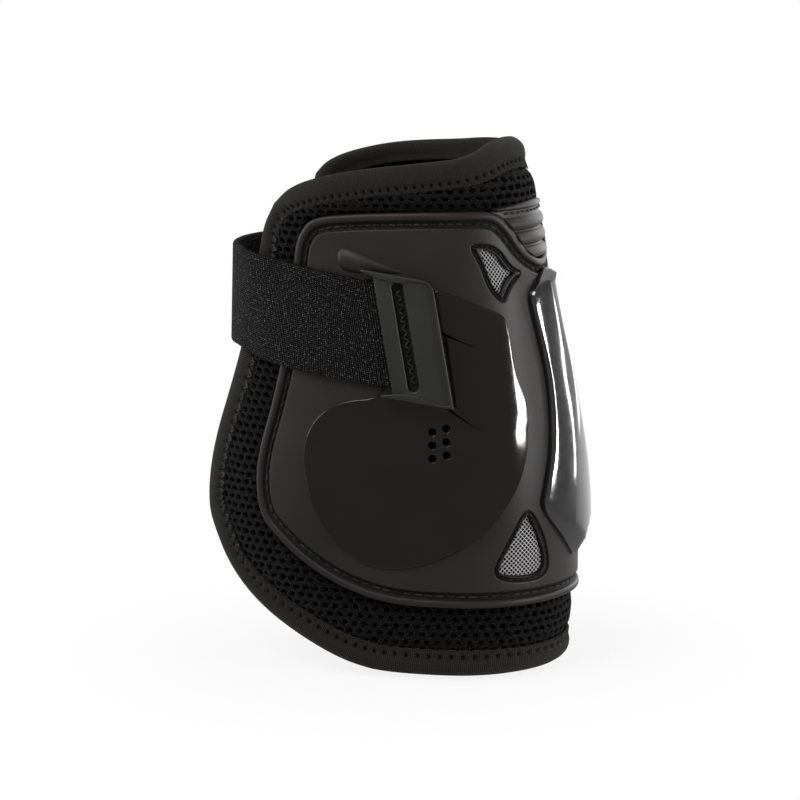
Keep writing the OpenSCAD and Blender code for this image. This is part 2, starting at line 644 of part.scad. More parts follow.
module hook_plate() in_place() color("#3b3b3a") hook_frame() {
    web = 0.8;
    rim = 0.5;
    rim_w = 0.9;
    slot_half = strap_w / 2 + 1;
    difference() {
        union() {
            translate([0, 0, plate_low]) linear_extrude(hook_t) plate_outline();
            // Flanges that guard the edges of the strap
            translate([0, 0, face_here + 1.1]) linear_extrude(plate_high + rim - face_here - 1.1)
                for (side = [-1, 1])
                    strip(-bar_w - flange_l, catch_x, side * plate_half, side * (plate_half - flange_t));
            // Lip
            translate([0, catch_high - 0.5, 0]) rotate([90, 0, 0]) linear_extrude(catch_high - catch_low - 1)
                polygon([
                    [catch_rear(plate_low + 0.2) + catch_room, plate_low + 0.2],
                    [catch_rear(lip_low) + catch_room, lip_low],
                    [catch_rear(lip_low) + catch_room + lip_t, lip_low],
                    [catch_rear(lip_low) + catch_room + lip_t, plate_low + 0.2]]);
            // Raised edge of the grip
            translate([0, 0, plate_high - 0.1]) linear_extrude(rim + 0.1)
                strip(plate_end - rim_w, plate_end, -plate_half, plate_half - 3);
        }
        // Sewing channel
        translate([0, 0, plate_low + web]) linear_extrude(hook_t + 1) {
            translate([0, channel_w / 2 - slot_half]) square([channel_w, 2 * slot_half - channel_w]);
            for (side = [-1, 1]) translate([channel_w / 2, side * (slot_half - channel_w / 2)]) circle(d = channel_w, $fn = 32);
        }
    }
}

// Zigzag seam in the channel
module hook_stitching() in_place() color("#0c0c0c") hook_frame() {
    turns = 12;
    run = strap_w - 3;
    high = plate_low + 0.8 + 0.1;
    for (i = [0:turns - 1])
        translate([channel_w / 2, -run / 2 + run * (i + 0.5) / turns, high])
            rotate([0, 0, i % 2 == 0 ? 32 : -32]) translate([-1.1, -0.3, 0]) cube([2.2, 0.6, 0.5]);
}

inner_lining();
foam_core();
mesh_cover();
edge_binding();
binding_stitching();
outer_shell();
flex_bellows();
back_bumper();
shell_stitching();
vent_stitching();
vent_mesh_near_upper();
vent_mesh_near_lower();
vent_mesh_far_upper();
vent_mesh_far_lower();
strap_anchor();
anchor_stitching();
elastic_strap();
strap_tail();
hook_plate();
hook_stitching();
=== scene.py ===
import math
import random

import bmesh
import bpy
from mathutils import Matrix, Vector, kdtree


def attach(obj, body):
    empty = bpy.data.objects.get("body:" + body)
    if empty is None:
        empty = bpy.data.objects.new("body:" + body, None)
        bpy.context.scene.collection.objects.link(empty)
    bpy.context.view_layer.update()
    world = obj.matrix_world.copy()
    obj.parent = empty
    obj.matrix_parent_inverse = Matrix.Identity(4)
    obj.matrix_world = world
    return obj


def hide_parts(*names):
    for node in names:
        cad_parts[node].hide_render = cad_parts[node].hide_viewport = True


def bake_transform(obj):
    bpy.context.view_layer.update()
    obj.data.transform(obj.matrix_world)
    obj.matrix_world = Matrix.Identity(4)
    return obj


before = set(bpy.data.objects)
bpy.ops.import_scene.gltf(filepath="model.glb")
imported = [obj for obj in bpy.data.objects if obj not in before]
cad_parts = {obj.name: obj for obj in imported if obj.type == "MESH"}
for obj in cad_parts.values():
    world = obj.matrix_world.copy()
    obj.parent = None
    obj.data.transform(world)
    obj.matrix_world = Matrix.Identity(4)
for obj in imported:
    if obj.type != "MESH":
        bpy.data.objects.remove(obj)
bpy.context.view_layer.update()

random.seed(7)


# ---- Padding -----------------------------------------------------------------
# One sheet of soft foam, 9 mm thick, between a smooth lining and a dark knitted ground. It is cut
# to shape, pressed thin at its edges where the binding grips it, and swells in the open band.
#
# The whole boot is sewn flat and bent round the leg. A point of the flat pattern has q, the distance
# round from the spine, z, the height, and d, the distance out from the padding, in millimetres.
def cut_corners(corners, times, closed=False):
    """Rounds a line by cutting its corners again and again"""
    line = [Vector(c) for c in corners]
    for _ in range(times):
        pairs = zip(line, line[1:] + line[:1] if closed else line[1:])
        cut = [p for a, b in pairs for p in (a.lerp(b, 0.25), a.lerp(b, 0.75))]
        line = cut if closed else [line[0]] + cut + [line[-1]]
    return line


HEM_CORNER, TOP_CORNER = (123.5, 36), (115, 138)
# Lower, front and upper lines of the far half; the near half is the same, mirrored
padding_lines = (
    cut_corners([(0, 0), (58, 0), (72, 2.6), (86, 8.6), (104, 17.6), (117, 27.9), HEM_CORNER], 3),
    cut_corners([HEM_CORNER, (128.5, 42.2), (131, 53), (130.5, 66), (127, 80), (124, 96), (123, 114),
                 (121.5, 129), TOP_CORNER], 3),
    cut_corners([TOP_CORNER, (108, 142.5), (94, 146.1), (74, 149), (50, 151), (26, 153), (12, 156),
                 (0, 156.5)], 3))
SHELL_LOW_CORNER, SHELL_HIGH_CORNER = (94.5, 40.3), (97, 128.1)
shell_lines = (
    cut_corners([(0, 21.8), (46, 21.6), (62, 22.8), (76, 27.6), (87, 34.2), SHELL_LOW_CORNER], 3),
    cut_corners([SHELL_LOW_CORNER, (100.4, 45.1), (103.6, 56), (103.4, 66), (100.5, 80), (98, 101.8),
                 (98.5, 123.6), SHELL_HIGH_CORNER], 3),
    cut_corners([SHELL_HIGH_CORNER, (93, 133.2), (82, 135), (58, 136.2), (32.7, 136.6), (21.7, 136.4),
                 (15.5, 131.6), (10.3, 124.6), (3.6, 121.5), (0, 121.2)], 3))


def even(line, steps):
    """The same line with its points at even steps"""
    marks = [0.0]
    for a, b in zip(line, line[1:]):
        marks.append(marks[-1] + (b - a).length)
    points, i = [], 0
    for s in range(steps + 1):
        want = marks[-1] * s / steps
        while i < len(line) - 2 and marks[i + 1] < want:
            i += 1
        points.append(line[i].lerp(line[i + 1], (want - marks[i]) / (marks[i + 1] - marks[i])))
    return points


def both_halves(low, side, high, run, front):
    """Closed outline from the lower, front and upper lines of its far half"""
    half = even(low, run) + even(side, front)[1:] + even(high, run)[1:]
    return half + [Vector((-p.x, p.y)) for p in half[-2:0:-1]]


def tree_of(loop):
    """Finds the nearest point of an outline"""
    tree = kdtree.KDTree(len(loop))
    for i, p in enumerate(loop):
        tree.insert((p.x, p.y, 0), i)
    tree.balance()
    return tree


padding_edge = both_halves(*padding_lines, 40, 30)
shell_edge = both_halves(*shell_lines, 40, 30)
to_padding_edge = tree_of(both_halves(*padding_lines, 200, 150))
to_shell_edge = tree_of(both_halves(*shell_lines, 200, 150))
# How far in from the edge the binding grips
GRIPPED = 7.5


def ease(t):
    """Runs smoothly from 0 to 1"""
    t = min(1.0, max(0.0, t))
    return t * t * (3 - 2 * t)


def within(loop, p):
    """Whether a point of the flat pattern lies inside an outline"""
    hit = False
    for a, b in zip(loop, loop[1:] + loop[:1]):
        if (a.y > p.y) != (b.y > p.y) and p.x < (b.x - a.x) * (p.y - a.y) / (b.y - a.y) + a.x:
            hit = not hit
    return hit


# How far the padding swells in the open band, how much more at the collar, and how high the collar starts
SWELL, COLLAR_SWELL, COLLAR = 1.4, 0.8, 128


def swell(q, z):
    """How far the padding stands out in the open band between the shell and the binding"""
    from_binding = to_padding_edge.find((q, z, 0))[2] - GRIPPED
    from_shell = to_shell_edge.find((q, z, 0))[2]
    if from_binding <= 0 or within(shell_edge, Vector((q, z))):
        return 0.0
    across = from_shell / (from_shell + from_binding)
    return (SWELL + COLLAR_SWELL * ease((z - COLLAR) / 10)) * (4 * across * (1 - across)) ** 0.7


def gridded(loop, run, front):
    """A grid stretched inside an outline, its sides on the outline"""
    bm = bmesh.new()
    across, n = 2 * run, len(loop)
    bmesh.ops.create_grid(bm, x_segments=across, y_segments=front, size=1)

    def border(r, c):
        if r == 0:
            return loop[(c - run) % n]
        if r == front:
            return loop[run + front + across - c]
        return loop[run + r] if c == across else loop[n - run - r]

    for v in bm.verts:
        c, r = round((v.co.x + 1) / 2 * across), round((v.co.y + 1) / 2 * front)
        if r in (0, front) or c in (0, across):
            v.co.xy = border(r, c)
            continue
        u, w = c / across, r / front
        low_corners = border(0, 0).lerp(border(0, across), u)
        high_corners = border(front, 0).lerp(border(front, across), u)
        v.co.xy = (border(0, c).lerp(border(front, c), w) + border(r, 0).lerp(border(r, across), u)
                   - low_corners.lerp(high_corners, w))
    return bm


# Share of the girth that the leg loses from the fetlock up to the collar, and the height where it starts
TAPER, TAPER_FROM = 0.265, 35


def girth(z):
    """Girth at a height, as a share of the full girth: the collar is narrower than the fetlock"""
    return 1 - TAPER * ease((z - TAPER_FROM) / 120)


def inset(loop, distance, step=0.5):
    """Outline moved inwards, in small steps that keep its points apart at tight corners"""
    for k in range(max(1, math.ceil(distance / step))):
        by = distance / max(1, math.ceil(distance / step))
        n = len(loop)
        moved = []
        for i, p in enumerate(loop):
            t = loop[(i + 1) % n] - loop[i - 1]
            t = Vector((t.x * girth(p.y), t.y)).normalized()
            moved.append(Vector((p.x - by * t.y / girth(p.y), p.y + by * t.x)))
        loop = [0.2 * moved[i - 1] + 0.6 * p + 0.2 * moved[(i + 1) % n] for i, p in enumerate(moved)]
    return loop


# Middle and outer face of the padding, and how much thinner its lining side is pressed. Its edge turns
# in over two steps, each a depth and a length outwards.
PAD_MIDDLE, PAD_FACE, PRESSED = -4.5, -1.5, 0.6
pad = gridded(inset(both_halves(*padding_lines, 60, 44), 3), 60, 44)
for v in pad.verts:
    v.co.z = PAD_FACE + swell(v.co.x, v.co.y)
for sink, out in ((-2.2, 1.4), (PAD_MIDDLE, 0.8)):
    rim = [e for e in pad.edges if e.is_boundary]
    pushed = bmesh.ops.extrude_edge_only(pad, edges=rim)["geom"]
    moved = [v for v in pushed if isinstance(v, bmesh.types.BMVert)]
    steps = {}
    for v in moved:
        place = to_padding_edge.find((v.co.x, v.co.y, 0))[0]
        steps[v] = (Vector(place) - Vector((v.co.x, v.co.y, 0))).normalized() * out
    for v, step in steps.items():
        v.co.xy = v.co.xy + step.xy
        v.co.z = sink
copied = bmesh.ops.duplicate(pad, geom=pad.verts[:] + pad.edges[:] + pad.faces[:])["geom"]
for item in copied:
    if isinstance(item, bmesh.types.BMVert):
        item.co.z = 2 * PAD_MIDDLE - item.co.z + (PRESSED if item.co.z > -2 else 0)
    elif isinstance(item, bmesh.types.BMFace):
        item.material_index = 1
bmesh.ops.reverse_faces(pad, faces=[f for f in copied if isinstance(f, bmesh.types.BMFace)])
bmesh.ops.remove_doubles(pad, verts=[v for v in pad.verts if abs(v.co.z - PAD_MIDDLE) < 0.01], dist=0.01)


def node(tree, kind, props=None, inputs=None):
    """Adds a shader node, sets its properties and its sockets, or links them from other nodes"""
    made = tree.nodes.new("ShaderNode" + kind)
    for key, value in (props or {}).items():
        setattr(made, key, value)
    for key, value in (inputs or {}).items():
        if isinstance(value, bpy.types.NodeSocket):
            tree.links.new(value, made.inputs[key])
        else:
            made.inputs[key].default_value = value
    return made


def linear(code):
    """A colour written as sRGB hex, in linear light"""
    parts = [int(code[i:i + 2], 16) / 255 for i in (1, 3, 5)]
    return [c / 12.92 if c <= 0.04045 else ((c + 0.055) / 1.055) ** 2.4 for c in parts] + [1.0]


def new_material(name):
    """An empty material, and the tree that its nodes go into"""
    material = bpy.data.materials.new(name)
    material.use_nodes = True
    material.node_tree.nodes.clear()
    return material, material.node_tree


# Warp-knitted polyester ground, matt and nearly black, with a fine loop texture
ground_knit, tree = new_material("knitted_polyester_ground")
uv = node(tree, "TexCoord")
loops = node(tree, "TexVoronoi", {}, {"Vector": uv.outputs["UV"], "Scale": 1.6})
bump = node(tree, "Bump", {}, {"Height": loops.outputs["Distance"], "Strength": 0.6, "Distance": 0.0002})
shade = node(tree, "ValToRGB", {}, {"Fac": loops.outputs["Distance"]})
shade.color_ramp.elements[0].color = linear("#030303")
shade.color_ramp.elements[1].color = linear("#0a0a0a")
shader = node(tree, "BsdfPrincipled", {}, {
    "Base Color": shade.outputs["Color"], "Roughness": 1.0, "Specular IOR Level": 0.05,
    "Normal": bump.outputs["Normal"]})
node(tree, "OutputMaterial", {}, {"Surface": shader.outputs["BSDF"]})

# Neoprene laminated with brushed nylon jersey: a soft warm grey with a low sheen and a fine knit
lining_cloth, tree = new_material("nylon_jersey_on_neoprene")
uv = node(tree, "TexCoord")
ribs = node(tree, "TexWave", {"bands_direction": "X"},
    {"Vector": uv.outputs["UV"], "Scale": 0.55, "Distortion": 1.2, "Detail Scale": 1.5})
clouds = node(tree, "TexNoise", {}, {"Vector": uv.outputs["UV"], "Scale": 0.12, "Detail": 3.0})
shade = node(tree, "ValToRGB", {}, {"Fac": clouds.outputs["Fac"]})
shade.color_ramp.elements[0].position, shade.color_ramp.elements[1].position = 0.3, 0.7
shade.color_ramp.elements[0].color = linear("#0f0d0c")
shade.color_ramp.elements[1].color = linear("#1c1815")
bump = node(tree, "Bump", {}, {"Height": ribs.outputs["Fac"], "Strength": 0.25, "Distance": 0.0001})
shader = node(tree, "BsdfPrincipled", {}, {
    "Base Color": shade.outputs["Color"], "Roughness": 0.9, "Specular IOR Level": 0.15, "Sheen Weight": 0.1,
    "Sheen Roughness": 0.4, "Normal": bump.outputs["Normal"]})
node(tree, "OutputMaterial", {}, {"Surface": shader.outputs["BSDF"]})

# Plan of the leg side of the padding, a row of arcs, each a length and a radius: round at the spine,
# flatter at the side, and round again towards the open front
BODY_ARCS = ((math.radians(72) * 32, 32), (math.radians(18) * 130, 130), (1000, 70))
# Where the spine stands, how far it leans in up to the collar, and how far the hem tucks under
SPINE_OUT, LEAN, TUCK = 49.7, 14, 1.5


def walk(arcs, q):
    """Position and heading after a walk of length q along arcs of (length, radius)"""
    x = y = heading = 0.0
    for length, radius in arcs:
        turned = heading + min(q, length) / radius
        x += radius * (math.cos(turned) - math.cos(heading))
        y += radius * (math.sin(turned) - math.sin(heading))
        heading = turned
        q -= length
        if q <= 0:
            break
    return x, y, heading


def on_leg(q, z, d, arcs=BODY_ARCS):
    """Place on the finished boot, in metres, of a point of the flat pattern"""
    x, y, heading = walk(arcs, abs(q))
    side = -1 if q < 0 else 1
    lean = -LEAN * ease((z - 45) / 115) - TUCK * max(0.0, 1 - z / 30) ** 2
    out = SPINE_OUT + lean + girth(z) * x + d * math.cos(heading)
    return Vector((out, 0.1 + side * (girth(z) * y + d * math.sin(heading)), z)) * 0.001


# The set of the collar: how far the far corner reaches forward, the far side rises, its corner rises
# more and the near side drops, how far the spine edge is pulled in, and the share that is pinched off
FORWARD, FAR_RISE, CORNER_RISE, NEAR_DROP, PULLED_IN, PINCH = 7, 2.4, 1.0, 1.1, 1.9, 0.42


def worn_collar(bm):
    """The soft collar has taken a set. Its far side stands higher and reaches further forward, its
    near side lies a little lower, and the binding has pinched its edge."""
    for v in bm.verts:
        q, z, d = v.co
        up = ease((z + 0.125 * abs(q) - 142.5) / 12)
        v.co.x += FORWARD * ease((q - 60) / 50) * ease((z - 118) / 24)
        v.co.y += up * (FAR_RISE * ease((q - 8) / 40) + CORNER_RISE * ease((q - 50) / 40)
                        - NEAR_DROP * ease((-q - 14) / 24))
        v.co.z = (d if d > 0 else d * (1 - PINCH * up)) - PULLED_IN * up * (1 - ease((abs(q) - 10) / 26))


def finish_piece(name, bm, materials, body, arcs=BODY_ARCS, wrapped=True):
    """Bends a flat mesh round the leg, keeping the flat place as its UV map, and gives it a body"""
    if wrapped:
        flat = bm.loops.layers.uv.verify()
        for face in bm.faces:
            for corner in face.loops:
                if corner[flat].uv.length == 0:
                    corner[flat].uv = corner.vert.co.xy
        for v in bm.verts:
            v.co = on_leg(*v.co, arcs)
    for face in bm.faces:
        face.smooth = True
    mesh = bpy.data.meshes.new(name)
    bm.to_mesh(mesh)
    bm.free()
    for material in materials:
        mesh.materials.append(material)
    piece = bpy.data.objects.new(name, mesh)
    bpy.context.collection.objects.link(piece)
    if body:
        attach(piece, body)
    return piece


worn_collar(pad)
padding = finish_piece("padding", pad, [ground_knit, lining_cloth], "boot")
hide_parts("foam_core", "inner_lining")


# ---- Spacer mesh -------------------------------------------------------------
# The outer face of the padding is a knitted spacer fabric: staggered oval holes in a thick web.
# It shows in the open band round the shell; the holes look down on the dark ground.

# Half a hole's spacing round the leg, the spacing of the rows, how far each hole is drawn to a
# point, and the width of the web, in millimetres
HALF_CELL, ROW, POINT, WEB = 1.55, 2.4, 0.42, 0.62
NET_COLS, NET_ROWS = 196, 68
# How far from the edge the mesh starts, how far it runs in under the shell, and where the tape presses it
UNDER_TAPE, UNDER_SHELL, TAPE_FOOT = 6.2, 2.0, 9.0
net = bmesh.new()
bmesh.ops.create_grid(net, x_segments=NET_COLS, y_segments=NET_ROWS, size=1)
place_in_row = net.verts.layers.int.new("column_and_row")
for v in net.verts:
    i, j = round((v.co.x + 1) / 2 * NET_COLS), round((v.co.y + 1) / 2 * NET_ROWS)
    v[place_in_row] = i + j
    v.co = ((i - NET_COLS / 2) * HALF_CELL, j * ROW, 0)
spare = [e for e in net.edges if abs(e.verts[0].co.x - e.verts[1].co.x) < 0.01
         and min(e.verts[0][place_in_row], e.verts[1][place_in_row]) % 2 and len(e.link_faces) == 2]
bmesh.ops.dissolve_edges(net, edges=spare, use_verts=False)
for v in net.verts:
    v.co.y += POINT if v[place_in_row] % 2 == 0 else -POINT
    v.co.x /= girth(v.co.y)


def in_open_band(face):
    """Whether a hole lies between the binding and the shell, or just under their edges"""
    centre = face.calc_center_median()
    p = Vector((centre.x, centre.y))
    if not within(padding_edge, p) or to_padding_edge.find((p.x, p.y, 0))[2] < UNDER_TAPE:
        return False
    return not within(shell_edge, p) or to_shell_edge.find((p.x, p.y, 0))[2] < UNDER_SHELL


bmesh.ops.delete(net, geom=[f for f in net.faces if not in_open_band(f)], context="FACES")
holes = net.faces[:]
bmesh.ops.inset_individual(net, faces=holes, thickness=WEB, use_even_offset=True)
bmesh.ops.delete(net, geom=holes, context="FACES_ONLY")
# No two holes of a knit are quite alike
for v in net.verts:
    v.co += Vector((random.uniform(-0.24, 0.24), random.uniform(-0.28, 0.28), 0))
    past_tape = to_padding_edge.find((v.co.x, v.co.y, 0))[2] - TAPE_FOOT
    v.co.z = (-0.1 + swell(v.co.x, v.co.y) + random.uniform(-0.15, 0.15)
              - 0.8 * math.exp(-(past_tape / 0.8) ** 2))

# Textured polyester yarn: black, matt and fuzzy. Paler flecks in its colour are painted highlights, loose
# fibres catching the light.
spacer_yarn, tree = new_material("knitted_spacer_polyester")
uv = node(tree, "TexCoord")
yarn = node(tree, "TexNoise", {},
    {"Vector": uv.outputs["UV"], "Scale": 1.9, "Detail": 6.0, "Roughness": 0.75})
fibre_glints = node(tree, "ValToRGB", {}, {"Fac": yarn.outputs["Fac"]})
fibre_glints.color_ramp.elements[0].position, fibre_glints.color_ramp.elements[1].position = 0.52, 0.7
fibre_glints.color_ramp.elements[0].color = linear("#020202")
fibre_glints.color_ramp.elements[1].color = linear("#3a3a39")
twist = node(tree, "TexWave", {"bands_direction": "DIAGONAL"},
    {"Vector": uv.outputs["UV"], "Scale": 0.9, "Distortion": 4.0, "Detail": 3.0, "Detail Scale": 2.0})
height = node(tree, "Math", {"operation": "ADD"}, {0: yarn.outputs["Fac"], 1: twist.outputs["Fac"]})
bump = node(tree, "Bump", {}, {"Height": height.outputs["Value"], "Strength": 0.8, "Distance": 0.00025})
shader = node(tree, "BsdfPrincipled", {}, {
    "Base Color": fibre_glints.outputs["Color"], "Roughness": 0.95, "Specular IOR Level": 0.08,
    "Sheen Weight": 0.05, "Sheen Roughness": 0.5, "Normal": bump.outputs["Normal"]})
node(tree, "OutputMaterial", {}, {"Surface": shader.outputs["BSDF"]})

worn_collar(net)
spacer = finish_piece("spacer_mesh", net, [spacer_yarn], "boot")
thick = spacer.modifiers.new("thickness", "SOLIDIFY")
thick.thickness, thick.offset, thick.use_rim_only = 0.001, -1, True
rounded = spacer.modifiers.new("rounded", "SUBSURF")
rounded.levels = rounded.render_levels = 1
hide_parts("mesh_cover")


# ---- Edge binding ------------------------------------------------------------
# A ribbed knitted tape is folded over the padding's edge all the way round and sewn through.
# Each stitch pulls a dimple into it. On the front edges the thread zigzags over onto the mesh, and
# elsewhere it lies sunk, with loose ends.

# Length of a stitch, width of the tape on each face, how much deeper it is folded over the front, and
# how far in from the tape's inner edge the seam runs
STITCH, TAPE_WIDTH, FRONT_EXTRA, SEAM_IN = 3.4, 8.6, 2.6, 2
# Depth of the dimple that a stitch pulls, its reach along and across the seam, and how far the tape's
# inner edge is drawn down and in at a stitch
DIMPLE, DIMPLE_LONG, DIMPLE_WIDE, DRAWN_DOWN, DRAWN_IN = 0.8, 0.72, 0.75, 0.18, 0.16
tape_path = both_halves(*padding_lines, 200, 156)
TAPE_N = len(tape_path)
tape_run = [0.0]
for a, b in zip(tape_path, tape_path[1:] + tape_path[:1]):
    tape_run.append(tape_run[-1] + (b - a).length)
stitch_count = round(tape_run[-1] / STITCH)
STITCH = tape_run[-1] / stitch_count


def tape_width(p):
    """The tape is folded deeper over the front edges than over the hem and the collar"""
    front = ease((abs(p.x) - 100) / 18) * ease((136 - p.y) / 22) * ease((p.y - 22) / 18)
    return TAPE_WIDTH + FRONT_EXTRA * front


# Each point of the folded tape: distance in from the edge, as a share of the width and a length,
# and distance out from the padding
outer_fold = [
    (1, 0, 0.3), (1, 0, 0.75), (1, -0.25, 1.0), (1, -0.8, 1.15), (1, -1.4, 1.1), (1, -2, 1.0),
    (1, -2.6, 1.1), (1, -3.3, 1.35), (0.5, 0.3, 1.5), (0.4, 0, 1.45), (0.28, 0, 1.15), (0.18, 0, 0.5),
    (0.09, 0, -0.6), (0.03, 0, -2.2), (0, 0.05, -3.5)]
INNER_SHARE = 0.65
fold = (outer_fold + [(0, 0, PAD_MIDDLE)]
        + [(share * INNER_SHARE, more * INNER_SHARE, 2 * PAD_MIDDLE - d)
           for share, more, d in reversed(outer_fold)]
        + [(0.4, 0, -9.1), (0.2, 0.4, -6.5), (0.15, 0.4, PAD_MIDDLE), (0.2, 0.4, -2.5), (0.4, 0, 0.1)])
TAPE_M = len(fold)
tape = bmesh.new()
bmesh.ops.create_grid(tape, x_segments=TAPE_N, y_segments=TAPE_M, size=1)
tape_uv = tape.loops.layers.uv.verify()
place_along = tape.verts.layers.int.new("along")
place_round = tape.verts.layers.int.new("round")
across_fold = [0.0]
for (s0, m0, d0), (s1, m1, d1) in zip(fold, fold[1:] + fold[:1]):
    across_fold.append(across_fold[-1] + math.hypot((s1 - s0) * TAPE_WIDTH + m1 - m0, d1 - d0))
for v in tape.verts:
    v[place_along] = round((v.co.x + 1) / 2 * TAPE_N)
    v[place_round] = round((v.co.y + 1) / 2 * TAPE_M)
for face in tape.faces:
    for corner in face.loops:
        corner[tape_uv].uv = (tape_run[corner.vert[place_along]] + 0.01,
            across_fold[corner.vert[place_round]])
inner_lines = {}
for i, p in enumerate(tape_path):
    t = tape_path[(i + 1) % TAPE_N] - tape_path[i - 1]
    t = Vector((t.x * girth(p.y), t.y)).normalized()
    inner_lines[i] = Vector((-t.y / girth(p.y), t.x))
for v in tape.verts:
    i, j = v[place_along] % TAPE_N, v[place_round] % TAPE_M
    p = tape_path[i]
    share, more, d = fold[j]
    a = share * tape_width(p) + more
    beat = (tape_run[i] / STITCH) % 1
    beat = min(beat, 1 - beat)
    if j <= 9:
        hole = math.exp(-(beat * STITCH / DIMPLE_LONG) ** 2)
        seam = math.exp(-((a - tape_width(p) + SEAM_IN) / DIMPLE_WIDE) ** 2)
        d -= DIMPLE * hole * seam
        if share == 1 and more > -1:
            d -= DRAWN_DOWN * (1 - hole)
            a += DRAWN_IN * (2 * hole - 1)
    place = p + inner_lines[i] * a
    v.co = (place.x, place.y, d)
bmesh.ops.remove_doubles(tape, verts=tape.verts[:], dist=0.0005)
bmesh.ops.recalc_face_normals(tape, faces=tape.faces[:])

# Knitted polyamide binding tape: charcoal, a soft matt face, and fine ribs 0.6 mm apart across its
# length. Its colour is darkened in the hollow round each stitch: painted shade.
binding_tape, tree = new_material("knitted_binding_tape")
uv = node(tree, "TexCoord")
rib = node(tree, "TexWave", {"bands_direction": "X"},
    {"Vector": uv.outputs["UV"], "Scale": 0.56, "Distortion": 0.4, "Detail Scale": 3.0})
parts = node(tree, "SeparateXYZ", {}, {"Vector": uv.outputs["UV"]})
beat = node(tree, "Math", {"operation": "PINGPONG"}, {0: parts.outputs["X"], 1: STITCH / 2})
from_seam = node(tree, "Math", {"operation": "SUBTRACT"}, {0: parts.outputs["Y"], 1: across_fold[5]})
pulled = node(tree, "CombineXYZ", {}, {"X": beat.outputs["Value"], "Y": from_seam.outputs["Value"]})
pulled = node(tree, "VectorMath", {"operation": "LENGTH"}, {0: pulled.outputs["Vector"]})
# Painted shade: how far the colour is darkened near each stitch's dimple
stitch_shade = node(tree, "MapRange", {"interpolation_type": "SMOOTHSTEP"},
    {"Value": pulled.outputs["Value"], "From Min": 0.35, "From Max": 1.05, "To Min": 0.08, "To Max": 1.0})
fuzz = node(tree, "TexNoise", {}, {"Vector": uv.outputs["UV"], "Scale": 3.0, "Detail": 4.0, "Roughness": 0.7})
height = node(tree, "Math", {"operation": "MULTIPLY_ADD"},
    {0: rib.outputs["Fac"], 1: 0.7, 2: fuzz.outputs["Fac"]})
bump = node(tree, "Bump", {}, {"Height": height.outputs["Value"], "Strength": 0.8, "Distance": 0.00025})
shade = node(tree, "ValToRGB", {}, {"Fac": height.outputs["Value"]})
shade.color_ramp.elements[0].position, shade.color_ramp.elements[1].position = 0.4, 1.0
shade.color_ramp.elements[0].color = linear("#080808")
shade.color_ramp.elements[1].color = linear("#2b2928")
shaded_colour = node(tree, "VectorMath", {"operation": "SCALE"},
    {0: shade.outputs["Color"], "Scale": stitch_shade.outputs["Result"]})
shader = node(tree, "BsdfPrincipled", {}, {
    "Base Color": shaded_colour.outputs["Vector"], "Roughness": 0.9, "Sheen Weight": 0.08, "Sheen Roughness": 0.45,
    "Specular IOR Level": 0.12, "Normal": bump.outputs["Normal"]})
node(tree, "OutputMaterial", {}, {"Surface": shader.outputs["BSDF"]})

worn_collar(tape)
binding = finish_piece("edge_tape", tape, [binding_tape], "boot")
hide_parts("edge_binding")

# Bonded polyester sewing thread: black with a slight lustre, twisted from three plies. Paler patches in its
# colour are painted glints.
thread_yarn, tree = new_material("bonded_polyester_thread")
place = node(tree, "TexCoord")
ply = node(tree, "TexWave", {"bands_direction": "DIAGONAL"},
    {"Vector": place.outputs["Object"], "Scale": 900.0})
bump = node(tree, "Bump", {}, {"Height": ply.outputs["Fac"], "Strength": 0.5, "Distance": 0.0001})
painted_lustre = node(tree, "TexNoise", {}, {"Vector": place.outputs["Object"], "Scale": 300.0})
shade = node(tree, "ValToRGB", {}, {"Fac": painted_lustre.outputs["Fac"]})
shade.color_ramp.elements[0].position, shade.color_ramp.elements[1].position = 0.4, 0.62
shade.color_ramp.elements[0].color = linear("#0a0a0a")
shade.color_ramp.elements[1].color = linear("#2a2a29")
shader = node(tree, "BsdfPrincipled", {}, {
    "Base Color": shade.outputs["Color"], "Roughness": 0.55, "Specular IOR Level": 0.3,
    "Normal": bump.outputs["Normal"]})
node(tree, "OutputMaterial", {}, {"Surface": shader.outputs["BSDF"]})


def sew(bm, start, end, thickness):
    """One stitch of thread lying between two points of the flat pattern"""
    start, end = Vector(start), Vector(end)
    along = end - start
    turn = along.to_track_quat("X", "Z").to_matrix().to_4x4()
    shape = (Matrix.Translation((start + end) / 2) @ turn
             @ Matrix.Diagonal((along.length / 2, thickness / 2, thickness / 2, 1)))
    bmesh.ops.create_uvsphere(bm, u_segments=6, v_segments=6, radius=1,
        matrix=shape @ Matrix.Rotation(math.pi / 2, 4, "Y"))


